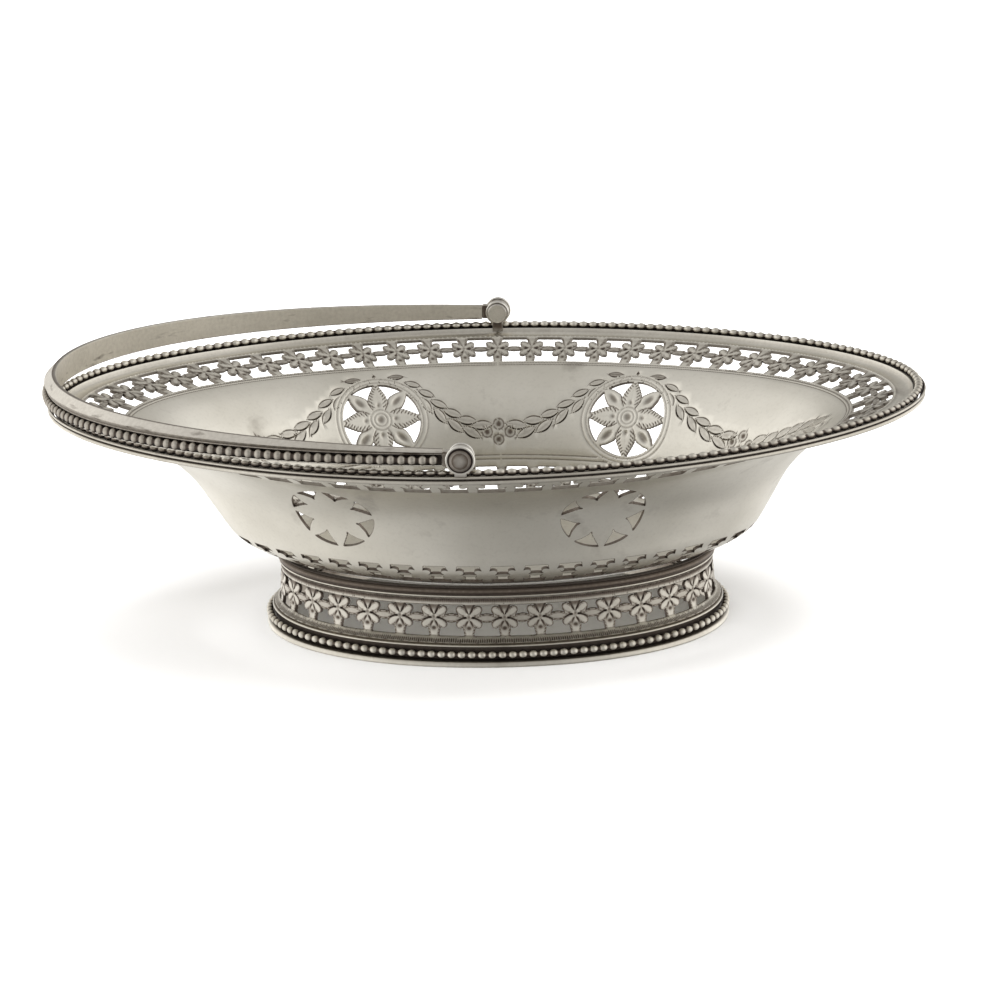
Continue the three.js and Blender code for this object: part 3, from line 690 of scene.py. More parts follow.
# Festoons: swags of leaves in pairs, hung from the roundels to clusters of berries
festoon = {
    # lines of the swags in mm from a roundel's middle, and from the outer cluster to the end
    "inner": ((1.4, 9.8), (5.0, 8.6), (8.6, 5.6), (11.9, 2.2), (16.2, -1.0), (20.4, -2.7), (23.4, -3.3)),
    "outer": ((1.4, 9.8), (5.0, 8.6), (8.6, 5.6), (12.5, 2.2), (17.0, -0.4), (21.6, -2.0), (25.3, -2.4)),
    "end": ((0.0, -2.4), (5.0, -1.2), (10.0, 1.6), (15.0, 5.0), (19.0, 8.0)),
    "leaves": {"inner": 7, "outer": 7, "end": 6},    # pairs
    "leafLength": 4.7,
    "leafWidth": 0.92,
    "growth": (0.68, 1.0),    # from the roundel to the berries
    "splay": 17,    # degrees
    "offset": 0.95,
    "lead": 0.9,    # the upper leaf of a pair stands this far ahead, the lower one behind
    "depth": 0.2,
    "groove": 0.22,
    "fill": 0.18,    # tarnish inside a leaf
    "smallFill": 0.45,    # and inside one of less than this size
    "small": 0.74,
    "berry": 1.15,
    "cluster": ((-2.45, 0), (2.45, 0), (0, 1.6), (0, -1.6)),
    "clusterGap": 2.9,    # from the last leaf to the cluster's middle
    "clusterHeights": (-3.6, -2.5),    # inner, outer
    "endGap": 2.7,
    "endShort": 3.9,
    "endBerry": (8.6, 0.7),    # height, radius
    "tick": 0.22,    # size of the small cut over each roundel
    "tickHeight": 10.35,
}


def swagLeaves(line, pairs, growth=(1, 1)):
    # leaves in pairs along a line, as (middle, direction, size), opening towards its end
    line = np.array(line, float)
    length = runLength(line)
    leaves = []
    for at in (np.arange(pairs) + 0.5) * length[-1] / pairs:
        here, ahead, back = (pointsAlong(line, length, at + step) for step in (0, 1.0, -1.0))
        heading = math.atan2(*(ahead - back)[::-1])
        for side in (1, -1):
            off = np.array([-math.sin(heading), math.cos(heading)]) * side * festoon["offset"]
            shift = festoon["lead"] * side * np.array([math.cos(heading), math.sin(heading)])
            size = growth[0] + (growth[1] - growth[0]) * at / length[-1]
            leaves.append((here + off + shift, heading + side * math.radians(festoon["splay"]), size))
    return leaves


def leafSpots(middle, direction, size):
    # (u, v, depth, tarnish and painted shade): two cut curves that meet at both tips, plain metal between
    # them
    length, width = festoon["leafLength"] * size, festoon["leafWidth"] * size
    fill = festoon["smallFill"] if size < festoon["small"] else festoon["fill"]
    axis = np.array([math.cos(direction), math.sin(direction)])
    over = np.array([-axis[1], axis[0]])
    if over[1] < 0:
        over = -over
    spots = []
    for share in np.linspace(-1, 1, 13):
        half = width * max(math.cos(share * math.pi / 2), 0) ** 0.8
        groove = festoon["groove"] * (0.6 + 0.4 * math.cos(share * math.pi / 2))
        along = middle + axis * share * length / 2
        # the lower cut is deeper and painted darker, as shade on the leaf's lower side
        for side, weight in ((1, 0.7), (-1, 1.15)):
            cut = festoon["depth"] * weight * (0.35 + 0.65 * math.cos(share * math.pi / 2))
            spots.append((*(along + over * side * (half + groove)), 0, 0))
            spots.append((*(along + over * side * half), cut, min(0.9 * weight, 1)))
            if half > groove + 0.1:
                spots.append((*(along + over * side * (half - groove)), 0, fill * 0.5))
        spots.append((*along, 0.05, fill))
    return spots


def berrySpots(middle, radius):
    spots = [(*middle, 0.22, 0.55)]
    for share, depth, dark in ((0.3, 0.2, 0.5), (0.68, 0.04, 0.1), (0.97, 0.12, 0.5), (1.2, 0.0, 0.0)):
        for k in range(12):
            angle = turn * (k + share) / 12
            u = middle[0] + radius * share * math.cos(angle)
            v = middle[1] + radius * share * math.sin(angle)
            spots.append((u, v, depth, dark))
    return spots


def coveredBy(spots, loops):
    # which spots lie inside any of the loops
    inside = np.zeros(len(spots), bool)
    for loop in loops:
        near = np.flatnonzero(((spots > loop.min(0)) & (spots < loop.max(0))).all(1) & ~inside)
        if not len(near):
            continue
        x, y = spots[near, 0][:, None], spots[near, 1][:, None]
        ahead = np.roll(loop, -1, axis=0)
        crosses = (loop[:, 1] > y) != (ahead[:, 1] > y)
        rise = np.where(ahead[:, 1] == loop[:, 1], 1, ahead[:, 1] - loop[:, 1])
        reach = loop[:, 0] + (y - loop[:, 1]) * (ahead[:, 0] - loop[:, 0]) / rise
        inside[near] = (crosses & (x < reach)).sum(1) % 2 == 1
    return inside


apronWidth = 0.16    # mm
leastGap = 0.085    # between spots


def spotRows(angle, level, depth=0.0, dark=0.0, milled=0.0):
    # a row for each spot of the work
    columns = np.broadcast_arrays(*(np.asarray(x, float) for x in (angle, level, depth, dark, milled)))
    return np.stack(columns, -1).reshape(-1, 5)


class SheetPlan:
    # the rows of a sheet's spots, with the loops of its holes among them
    def __init__(self, pointAt, flatAt, start, bottom, top, ringCounts, seamLevels):
        self.pointAt, self.flatAt, self.start = pointAt, flatAt, start
        self.spots, self.loops, self.same, self.border = np.zeros((0, 5)), [], {}, []
        rings = []
        for level, count in ((bottom, ringCounts[0]), (top, ringCounts[1])):
            angles = start + np.linspace(0, turn, count + 1)
            rings.append(self.add(angles, level))
            self.same[rings[-1][-1]] = rings[-1][0]
        left, right = (self.add(start + side, seamLevels) for side in (0, turn))
        self.same.update(zip(right, left))
        self.seam = left, right
        self.rings = rings
        for chain in ([rings[0][0], *left, rings[1][0]], [rings[0][-1], *right, rings[1][-1]], *rings):
            self.border += list(zip(chain[:-1], chain[1:]))

    def add(self, *columns):
        first = len(self.spots)
        self.spots = np.vstack([self.spots, spotRows(*columns)])
        return np.arange(first, len(self.spots))

    def flat(self, rows):
        return self.flatAt(rows[:, 0], rows[:, 1])

    def addLoop(self, angle, level, dark=0.5):
        self.loops.append(self.add(angle, level, 0.1, dark))

    def aprons(self, levelOfFlat):
        # clean metal close round the holes, so that only their edges are dark
        groups = []
        for loop in self.loops:
            flat = self.flat(self.spots[loop])
            along = np.roll(flat, -1, axis=0) - np.roll(flat, 1, axis=0)
            out = np.stack([along[:, 1], -along[:, 0]], 1) / np.linalg.norm(along, axis=1)[:, None]
            groups.append(spotRows(*levelOfFlat(flat + out * apronWidth)))
        return [np.vstack(groups)]

    def withSpots(self, groups, spacing, keepOff):
        # the shared spots, then the groups' spots in turn, and a plain grid where there is room
        rows = self.spots
        taken = self.flat(rows)
        holes = [taken[loop] for loop in self.loops]
        wide = self.start + turn
        for group in groups:
            group = group[(group[:, 0] > self.start + 0.002) & (group[:, 0] < wide - 0.002)]
            flat = self.flat(group)
            good = farFrom(flat, taken, leastGap) & ~coveredBy(flat, holes)
            rows = np.vstack([rows, group[good]])
            taken = np.vstack([taken, flat[good]])
        low, high = taken.min(0) + 0.3, taken.max(0) - 0.3
        plain = hexGrid(low, high, spacing)
        plain = plain[farFrom(plain, taken, keepOff) & ~coveredBy(plain, holes)]
        return rows, np.vstack([taken, plain]), plain


def buildSheet(plan, thickness, fine, grids, engravedInside, levelOfFlat, floorRings=()):
    # the engraved side has its own fine spots, and the other side only the plain grid
    sides = []
    for groups, (spacing, keepOff) in ((fine, grids[0]), (plan.aprons(levelOfFlat), grids[1])):
        rows, flat, plain = plan.withSpots(groups, spacing, keepOff)
        rows = np.vstack([rows, spotRows(*levelOfFlat(plain))])
        faces = fillPlan(flat, plan.loops, plan.border)
        for high, low in plan.same.items():
            faces[faces == high] = low
        sides.append((rows, faces))
    plainRows = sides[1][0]
    plainRows[:, 2] = 0
    plainRows[np.concatenate(plan.seam), 3:] = 0
    (outer, outerFaces), (inner, innerFaces) = sides[::-1] if engravedInside else sides
    points = []
    for rows, move in ((outer, outer[:, 2]), (inner, thickness - inner[:, 2])):
        normal = surfaceNormal(plan.pointAt, rows[:, 0], rows[:, 1])
        points.append(plan.pointAt(rows[:, 0], rows[:, 1]) + normal * move[:, None])
    points, marks = np.vstack(points), np.vstack([outer, inner])[:, 3:]
    gap = len(outer)
    faces = outerFaces.tolist() + (innerFaces[:, ::-1] + gap).tolist()
    chains = [((*loop, loop[0]), 1) for loop in plan.loops] + [(plan.rings[1], 1)]
    if not floorRings:
        chains.append((plan.rings[0], -1))
    for chain, way in chains:
        for a, b in zip(chain[:-1], chain[1:]):
            a, b = plan.same.get(a, a), plan.same.get(b, b)
            faces.append((a, b, b + gap, a + gap)[::way])
    for offset, way in ((0, -1), (gap, 1)):
        last = plan.rings[0][:-1] + offset
        edge = points[last]
        middle = edge.mean(0)
        for share in floorRings:
            here = np.arange(len(points), len(points) + len(edge))
            points = np.vstack([points, middle + (edge - middle) * share])
            marks = np.vstack([marks, np.zeros((len(edge), 2))])
            faces += [quad[::way] for quad in zip(last, np.roll(last, -1), np.roll(here, -1), here)]
            last = here
        if floorRings:
            faces.append(last[::way])
    return points, faces, marks


# The bowl
bowlPiece = {
    "upperGrain": 0.25,    # mm between the spots of a row's work
    "lowerGrain": 0.31,
    "loopSpacing": 0.24,    # along the edge of a hole
    "grids": ((1.3, 0.55), (1.6, 0.6)),    # plain spots inside and outside: spacing, distance from the work
    "ringSteps": (168, 560),    # round the floor and the lip
    "seamStep": 0.026,
    "lines": (0.7, 1.3),    # milled lines, mm under the upper row
    "lowerLines": (3.5, 3.72),    # and as levels over the lower one
    "lineSteps": 500,
    "lineHalfWidth": 0.22,
    "lineWork": (0.06, 0.25, 1),    # depth, tarnish, milling
    "flange": (
        # level, depth under the plain sheet, tarnish; the last row, where the flange meets the strip, is
        # painted shade beside the beads
        (8.03, 0.02, 0.1), (8.07, -0.14, 0.0), (8.12, -0.02, 0.25), (8.22, 0.22, 0.08), (8.36, 0.4, 0.05),
        (8.5, 0.4, 0.05), (8.62, 0.22, 0.1), (8.70, -0.05, 0.2), (8.74, -0.5, 0.1), (8.77, -0.68, 0.0),
        (8.81, -0.66, 0.0), (8.85, -0.3, 0.1), (8.89, 0.0, 0.25),
    ),
    "lowerLevels": (0.98, 2.98),
    "floorRings": (0.93, 0.8, 0.6, 0.4, 0.2),    # shares of the floor's edge
}
slantLevels = np.linspace(0, lip, 181)
slant = runLength(bowlPoint(rear, slantLevels))
planRadius = 65.0    # mm, of the bowl's flat plan


def bowlFlat(angle, level):
    return np.stack([angle * planRadius, np.interp(level, slantLevels, slant)], 1)


def bowlUnflat(flat):
    return flat[:, 0] / planRadius, np.interp(flat[:, 1], slant, slantLevels)


def inRow(row, turns, levels, k, u, v):
    gaps = turns[k + 1] - turns[k]
    share = (v - row["bottom"]) / (row["top"] - row["bottom"])
    return turns[k] + gaps * u / row["pitch"], levels[0] + (levels[1] - levels[0]) * share


def addRowWork(plan, row, turns, levels, spacing, grain):
    holes, spots = rowPlan(row, spacing, grain)
    depth, dark = rowEngraving(row, *spots.T)
    work = []
    for k in range(row["florets"]):
        for hole in holes:
            plan.addLoop(*inRow(row, turns, levels, k, *hole.T), row["edgeDark"])
        work.append(spotRows(*inRow(row, turns, levels, k, *spots.T), depth, dark))
    return np.vstack(work)


def roundelCentres():
    level = roundel["level"] * wallLevels
    right, left = bowlPoint([0, math.pi], level)[:, 0]
    centres = []
    for side in (1, -1):
        for end in (1, -1):
            x = end * roundel["spacing"] / 2 + side * roundel["shift"]
            angle = side * math.acos((2 * x - right - left) / (right - left))
            centres.append(angle + turn if angle < rear else angle)
    return level, centres


def upright(angle, level, v):
    # the place a distance up the wall, square to the rows and not along the slanting columns
    step = 0.01
    around, up = slopes(bowlPoint, angle, level, step)
    rate = np.linalg.norm(around, axis=1) / (2 * step)
    lean = (around * up).sum(1) / np.linalg.norm(around, axis=1) / np.linalg.norm(up, axis=1)
    square = np.sqrt(1 - lean ** 2)
    return angle - v * lean / square / rate, walkLevel(angle, level, v / square)


def inRoundel(level, centre, u, v):
    # u runs to the right as seen from inside the bowl, and v up the wall
    middle, raised = upright(np.full(len(v), centre), level, v)
    step = 0.002
    around, _ = slopes(bowlPoint, middle, raised, step)
    return middle - u / (np.linalg.norm(around, axis=1) / (2 * step)), raised


def festoonWork(level, centres):
    table = np.linspace(0, 2 * turn, 2400)
    travel = runLength(bowlPoint(table, level))
    quarter = travel[-1] / 8
    leaves, berries = [], []
    for centre in centres:
        here = np.interp(centre, table, travel)
        middle = 4 * quarter * (round((centre - rear) / math.pi)) / 2 + quarter
        inward = 1 if here > middle else -1    # the way that u runs to the middle of the side
        toEnd = quarter - abs(here - middle)

        def put(u, v, way):
            return here - way * np.asarray(u), np.asarray(v)

        for part, way in (("inner", inward), ("outer", -inward)):
            line = np.array(festoon[part])
            last = abs(here - middle) - festoon["clusterGap"] if part == "inner" else line[-1, 0]
            line[:, 0] *= 1 + (last / line[-1, 0] - 1) * np.linspace(0, 1, len(line))
            for spot, direction, size in swagLeaves(line, festoon["leaves"][part], festoon["growth"]):
                leaves.append((*put(*spot, way), math.pi - direction if way > 0 else direction, size))
        cluster = festoon["outer"][-1][0] + festoon["clusterGap"]
        line = np.array(festoon["end"])
        reach = toEnd - cluster - festoon["endShort"]
        line[:, 0] = cluster + festoon["endGap"] + line[:, 0] / line[-1, 0] * reach
        for spot, direction, size in swagLeaves(line, festoon["leaves"]["end"]):
            leaves.append((*put(*spot, -inward), math.pi - direction if -inward > 0 else direction, size))
        innerHeight, outerHeight = festoon["clusterHeights"]
        for u, v, way in ((abs(here - middle), innerHeight, inward), (cluster, outerHeight, -inward)):
            for du, dv in festoon["cluster"]:
                berries.append((*put(u + du, v + dv, way), festoon["berry"]))
        height, radius = festoon["endBerry"]
        berries.append((*put(toEnd, height, -inward), radius))
        leaves.append((*put(0, festoon["tickHeight"], 1), math.pi / 2, festoon["tick"]))
    rows = []
    for along, up, direction, size in leaves:
        rows += leafSpots(np.array([along, up]), direction, size)
    for along, up, radius in berries:
        rows += berrySpots((along, up), radius)
    rows = np.array(rows)
    angle = np.interp(rows[:, 0] % travel[-1], travel, table)
    angle, raised = upright(angle, level, rows[:, 1])
    angle = rear + (angle - rear) % turn
    return spotRows(angle, raised, rows[:, 2], rows[:, 3])


def bowlLines(angles):
    # the milled lines and the rounds of the flange
    rows = []
    upper = [walkLevel(angles, float(wallLevels), -down) for down in bowlPiece["lines"]]
    for level in (*upper, *bowlPiece["lowerLines"]):
        for side, *work in ((-1,), (0, *bowlPiece["lineWork"]), (1,)):
            at = walkLevel(angles, level, side * bowlPiece["lineHalfWidth"], 2)
            rows.append(spotRows(angles, at, *work))
    rows += [spotRows(angles, *work) for work in bowlPiece["flange"]]
    return np.vstack(rows)


def markSeam(plan, fine):
    # the seam takes its marks from the nearest work on either side
    work = np.vstack(fine)
    flat = plan.flat(work)
    left, right = (plan.flat(plan.spots[side]) for side in plan.seam)
    near = work[(flat[:, 0] < left[0, 0] + 0.6) | (flat[:, 0] > right[0, 0] - 0.6)]
    places = plan.flat(near)
    for here, there, a, b in zip(left, right, *plan.seam):
        apart = np.minimum(np.hypot(*(places - here).T), np.hypot(*(places - there).T))
        if apart.min() < 0.3:
            plan.spots[a, 2:] = plan.spots[b, 2:] = near[apart.argmin(), 2:]


def makeBowl():
    spacing = bowlPiece["loopSpacing"]
    seamLevels = np.arange(0.15, lip - 0.02, bowlPiece["seamStep"])
    plan = SheetPlan(bowlPoint, bowlFlat, rear, 0, lip, bowlPiece["ringSteps"], seamLevels)
    fine = []
    for row, levels, grain in ((upperRow, (wallLevels, rowTop), bowlPiece["upperGrain"]),
                               (lowerRow, bowlPiece["lowerLevels"], bowlPiece["lowerGrain"])):
        turns, _ = evenTurns(lambda angle: bowlPoint(angle, sum(levels) / 2), row["florets"])
        fine.append(addRowWork(plan, row, turns, levels, spacing, grain))
    level, centres = roundelCentres()
    reach = roundel["borders"][-1] + 0.5
    us = np.arange(-9, 9.01, roundel["traceStep"])
    holes = traceHoles(roundelHoles, us, us, spacing)
    spots = hexGrid((-reach, -reach), (reach, reach), roundel["grain"])
    spots = spots[(roundelHoles(*spots.T) < -0.1) & (np.hypot(*spots.T) < reach)]
    depth, dark = roundelEngraving(*spots.T)
    for centre in centres:
        for hole in holes:
            angle, raised = inRoundel(level, centre, *hole[::-1].T)
            plan.addLoop(angle, raised)
        fine.append(spotRows(*inRoundel(level, centre, *spots.T), depth, dark))
    fine.append(festoonWork(level, centres))
    steps = bowlPiece["lineSteps"]
    fine.append(bowlLines(rear + (np.arange(steps) + 0.5) * turn / steps))
    markSeam(plan, fine)
    points, faces, marks = buildSheet(plan, bowlShape["sheet"], fine, bowlPiece["grids"], True, bowlUnflat,
                                      bowlPiece["floorRings"])
    run = np.arctan2(points[:, 1], points[:, 0]) * planRadius
    print("bowl has", len(points), "points and", len(faces), "faces")
    makePiece("bowl_pierced_and_engraved", points, faces, sheetSilver, "basket", "bowl",
              {"tarnishAndShade": marks[:, 0], "milled": marks[:, 1], "run": run})


makeBowl()


# The foot band, engraved outside
bandShape = {
    "neckHalf": (28.9, 42.9),    # side, end
    "flare": (2.5, 1.6),
    "pinch": -0.012,
    "waist": 0.35,
    "piercedBottom": 5.4,
    "piercedTop": 11.3,
    "phase": 0.42,    # first floret of the front, in pitches past its middle
    "sheet": 0.7,
    "cutPitch": 0.36,
    "cutHeights": (4.55, 4.8, 5.05, 5.3),
    "cuts": ((0, 0.14, 0.7), (0.33, 0.0, 0.2), (0.67, 0.0, 0.2)),    # place in the pitch, depth, tarnish
    "dots": ((11.62, 0.08, 0.5), (11.98, 0.0, 0.15), (12.34, 0.08, 0.5)),    # height, depth, tarnish
    "dull": 0.1,
    "topShade": 0.35,    # painted shade under the collar
    "shadeRange": (11.3, 12.2),
    "grain": 0.21,
    "loopSpacing": 0.22,
    "grids": ((1.0, 0.4), (1.4, 0.5)),    # as in the bowl, but outside, inside
    "ringSteps": (240, 240),
    "seamStep": 0.15,
}
bandBottom, bandTop = bandLow.z / mm, bandHigh.z / mm


def bandPoint(angle, height):
    angle, height = np.broadcast_arrays(np.asarray(angle, float), np.asarray(height, float))
    waist, split = bandShape["waist"], bandShape["piercedBottom"]
    above = waist * (bandTop - height) / (bandTop - split)
    below = waist + (1 - waist) * (split - height) / (split - bandBottom)
    share = np.where(height >= split, above, below)
    side, end = (bandShape["neckHalf"][k] + bandShape["flare"][k] * share for k in (0, 1))
    x, y = ovalPoint(end, side, bandShape["pinch"], angle)
    return np.stack([x + footShift, y, height], 1)


def makeBand():
    levels = (bandShape["piercedBottom"], bandShape["piercedTop"])

    def middleAt(angle):
        return bandPoint(angle, sum(levels) / 2)

    turns, _ = evenTurns(middleAt, footRow["florets"], -rear)
    start = np.interp(bandShape["phase"], [0, 1], turns[:2])
    turns, length = evenTurns(middleAt, footRow["florets"], start)
    radius = length / turn

    def flatAt(angle, level):
        return np.stack([angle * radius, level], 1)

    step = bandShape["seamStep"]
    seamLevels = np.arange(bandBottom + step, bandTop - 0.1, step)
    plan = SheetPlan(bandPoint, flatAt, start, bandBottom, bandTop, bandShape["ringSteps"], seamLevels)
    fine = [addRowWork(plan, footRow, turns, levels, bandShape["loopSpacing"], bandShape["grain"])]
    count = round(length / bandShape["cutPitch"])
    for height in bandShape["cutHeights"]:
        for part, depth, dark in bandShape["cuts"]:
            angles = start + (np.arange(count) + part + 0.05) * turn / count
            fine.append(spotRows(angles, height, depth, dark))
    for height, depth, dark in bandShape["dots"]:
        angles = start + (np.arange(2 * count) + 0.3) * turn / (2 * count)
        on = np.arange(2 * count) % 2
        fine.append(spotRows(angles, height, depth * on, dark * (0.4 + 0.6 * on)))
    markSeam(plan, fine)
    points, faces, marks = buildSheet(plan, bandShape["sheet"], fine, bandShape["grids"], False,
                                      lambda flat: (flat[:, 0] / radius, flat[:, 1]))
    print("foot band has", len(points), "points and", len(faces), "faces")
    # an even dullness, and painted shade under the collar
    shade = bandShape["dull"] + bandShape["topShade"] * smoothStep(points[:, 2], *bandShape["shadeRange"])
    makePiece("foot_band_pierced", points, faces, sheetSilver, "basket", "foot_band",
              {"tarnishAndShade": np.clip(marks[:, 0] + shade, 0, 1), "milled": marks[:, 1]})


makeBand()


# Wires and mouldings
def gridFaces(count, across, closedAlong=True, closedAcross=True):
    faces = []
    for i in range(count if closedAlong else count - 1):
        for j in range(across if closedAcross else across - 1):
            n, k = (i + 1) % count, (j + 1) % across
            faces.append((i * across + j, n * across + j, n * across + k, i * across + k))
    return faces


def tubeFaces(count, across, closed):
    # a tube's faces turned outwards, with capped ends where it isn't closed
    faces = gridFaces(count, across, closed)
    if not closed:
        last = (count - 1) * across
        faces += [tuple(range(across))[::-1], tuple(range(last, last + across))]
    return [face[::-1] for face in faces]


def arc(centre, radius, start, end, count):
    angles = np.radians(np.linspace(start, end, count))
    return [(centre[0] + radius * math.cos(a), centre[1] + radius * math.sin(a)) for a in angles]


def ringPoints(half, pinch, section, angles, shift=0.0, endRise=0.0):
    rows = []
    for outward, height in section:
        x, y = ovalPoint(half[1] + outward, half[0] + outward, pinch, angles)
        rows.append(np.stack([x + shift, y, height + endRise * np.cos(angles) ** 2], 1))
    return np.stack(rows, 1).reshape(-1, 3)


def makeRing(name, half, pinch, section, steps, solid, shift=0.0, endRise=0.0):
    # section of (outward, height, tarnish and painted shade)
    outline = [row[:2] for row in section]
    points = ringPoints(half, pinch, outline, np.arange(steps) * turn / steps, shift, endRise)
    makePiece(name, points, gridFaces(steps, len(section)), wireSilver, "basket", solid,
              {"tarnishAndShade": np.tile([row[2] for row in section], steps)}, 50)


rimHalf = (rim["halfWidth"], rim["halfLength"])
stripTop = rim["height"] - 0.3


def makeStrip():
    low = arc((0.9, stripTop - 1.22), 0.44, -85, 50, 8)
    high = arc((1.14, stripTop - 0.3), 0.25, -50, 80, 7)
    # the downward faces of the lower round and the top under the beads carry painted shade; the groove
    # between the rounds is darker
    section = [
        (0.3, stripTop - 1.7, 0.7), (0.62, stripTop - 1.7, 0.6),
        *[(x, z, 0.12 + 0.4 * (k < 2)) for k, (x, z) in enumerate(low)],
        (1.02, stripTop - 0.84, 0.85), (0.96, stripTop - 0.66, 0.98), (0.98, stripTop - 0.52, 0.95),
        *[(x, z, 0.15) for x, z in high],
        (1.02, stripTop - 0.06, 0.9), (0.3, stripTop - 1.15, 0.95),
    ]
    makeRing("rim_strip_moulded", rimHalf, rim["pinch"], section, 360, "rim_border_strip",
             endRise=rim["endRise"])


makeStrip()


# Beaded wire: beads on a thinner core, with painted shade between them and towards what carries them
def beadedWire(name, frameAt, count, pitch, bead, body, solid, closed=True, limit=None):
    phases = np.array([-1, -0.88, -0.64, -0.33, 0, 0.33, 0.64, 0.88, 1])
    around = np.arange(bead["sides"]) * turn / bead["sides"]
    places = ((np.arange(count) + 0.5) * pitch)[:, None] + phases * bead["halfLength"]
    size = np.maximum(np.sqrt(np.maximum(1 - phases ** 2, 0)), bead["core"])
    middle, outward, up = frameAt(places.ravel())
    size = np.tile(size, count)
    across, over = np.cos(around) * bead["radius"], np.sin(around) * bead["height"]
    points = (middle[:, None] + outward[:, None] * (across[None, :, None] * size[:, None, None])
              + up[:, None] * (over[None, :, None] * size[:, None, None]))
    # painted shade: darker away from the lit side and in the gaps between beads, over an even dullness
    under = smoothStep(-np.cos(around - bead["litSide"]), -0.5, 0.55)[None, :]
    gaps = smoothStep(np.abs(np.tile(phases, count)), 0.6, 1.0)[:, None]
    tarnishAndShade = np.clip(gaps * (0.55 + 0.4 * under) + 0.75 * under ** 1.5 + bead["dull"], 0, 1)
    points = points.reshape(-1, 3)
    if limit is not None:
        points = limit(points)
    faces = tubeFaces(len(middle), len(around), closed)
    makePiece(name, points, faces, wireSilver, body, solid, {"tarnishAndShade": tarnishAndShade.ravel()}, 70)


def wireWay(line, closed):
    # places along a line by distance, with the directions outward and up, and its length
    length = runLength(line)

    def frameAt(place):
        places = [place, place + 0.3, place - 0.3]
        if closed:
            places = [at % length[-1] for at in places]
        middle, ahead, back = (pointsAlong(line, length, at) for at in places)
        way = (ahead - back) / np.linalg.norm(ahead - back, axis=1)[:, None]
        outward = np.stack([way[:, 1], -way[:, 0], way[:, 0] * 0], 1)
        outward /= np.linalg.norm(outward, axis=1)[:, None]
        return middle, outward, np.tile((0.0, 0.0, 1.0), (len(place), 1))

    return frameAt, length[-1]


def ovalBeads(name, bead, solid, half, pinch, height, outset=0.0, shift=0.0, endRise=0.0, limit=None):
    line = ringPoints(half, pinch, [(outset, height)], np.linspace(0, turn, ovalSteps + 1), shift, endRise)
    way, length = wireWay(line, True)
    pitch = length / bead["count"]
    bead = {**bead, "halfLength": pitch * bead["share"]}
    beadedWire(name, way, bead["count"], pitch, bead, "basket", solid, limit=limit)


joint = frame["joints"][0]
pivot = np.array(joint["pos_m"]) / mm
hingeTurn = math.atan2(-joint["axis"][0], joint["axis"][1])
hinge = {
    # mm; round parts by their radius
    "outset": 0.1,    # of the knuckle's middle, from the line of the beads
    "pin": 0.9,
    "knuckle": 2.4,
    "knuckleLength": 1.6,
    "side": 0.2,    # room beside the knuckle
    "ear": 0.8,    # thickness
    "outerEar": 2.7,
    "innerEar": 2.45,
    "earFoot": 2.2,    # width
    "shade": 2.28,    # dark ring round the head
    "head": 2.0,
    "headFace": 1.5,
    "headHeight": 0.4,
    "tail": 2.1,
    "tailHeight": 0.3,
    "room": 0.3,    # between the knuckle and the beads below it
    "boreRoom": 0.2,
    "plateSides": 72,
    "pinSides": 56,
    # tarnish and painted shade: round a plate's section from the bore, and along the pin. The dark ring at
    # the shade radius and at the head's base is painted shadow round the head.
    "earDark": (0.95, 0.1, 0.0, 0.0, 0.05, 0.1, 0.95, 0.95),
    # painted shade on the ears' feet below the discs
    "earFootShade": 0.35,
    "knuckleDark": (0.9, 0.45, 0.2, 0.2, 0.45, 0.5, 0.6, 0.9),
    "pinDark": (0, 0.05, 0.3, 0.8, 0.9, 0.9, 0.9, 0.95, 0.85, 0.5, 0.4, 0.1, 0.05, 0.03, 0.0),
    "frontDarkReflection": (0,) * 11 + (0.45, 0.35, 0.3, 0.3),    # painted dark reflection, added on the near head's face
}


def filedHollow(points):
    # the beads are filed hollow under the knuckles
    fromLine = (points[:, 0] - pivot[0]) * math.cos(hingeTurn) + points[:, 1] * math.sin(hingeTurn)
    radius = hinge["knuckle"] + hinge["room"]
    under = pivot[2] - np.sqrt(np.maximum(radius ** 2 - fromLine ** 2, 0))
    near = np.abs(fromLine) < radius
    points[:, 2] = np.where(near, np.minimum(points[:, 2], under), points[:, 2])
    return points


rimBeads = {
    "count": 213,
    "radius": 0.8,    # mm
    "height": 0.7,
    "share": 0.45,    # half a bead's length, in pitches
    "core": 0.6,
    "sides": 14,
    "litSide": 1.9,    # the side without painted shade, in radians up from outward
    "dull": 0.04,
}
ovalBeads("rim_beads", rimBeads, "rim_bead_wire", rimHalf, rim["pinch"], rim["height"],
          endRise=rim["endRise"], limit=filedHollow)
print("rim ready")


# Collar and base of the foot
collar = {"bulge": 0.7, "width": 1.6}    # mm
base = {
    "wall": 0.1,    # mm outside the band's bottom edge
    "reach": 1.5,
    "thickness": 1.3,
    "edge": 1.3,    # height of the plain edge
    "ridge": 0.5,
}
neckHalf = bandShape["neckHalf"]
baseHalf = tuple(n + f for n, f in zip(neckHalf, bandShape["flare"]))
baseTop = baseHigh.z / mm


def makeCollar():
    low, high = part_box("foot_collar")
    bottom, top = low.z / mm, high.z / mm
    back = collar["bulge"] - collar["width"]
    radius = (top - bottom) * 0.3
    middle = bottom + (top - bottom) * 0.58
    bulge = arc((collar["bulge"] - radius, middle), radius, -75, 80, 9)
    section = [
        (back, bottom, 0.8), (0.25, bottom, 0.4), (0.42, bottom + 0.1, 0.08), (0.42, bottom + 0.3, 0.12),
        (0.3, bottom + 0.4, 0.85),
        *[(x, z, 0.62 + 0.12 * math.sin(k)) for k, (x, z) in enumerate(bulge)],
        (0.25, top - 0.12, 0.8), (0.2, top, 0.8), (back, top, 0.8),
    ]
    makeRing("foot_collar_moulded", neckHalf, bandShape["pinch"], section, 240, "foot_collar", footShift)


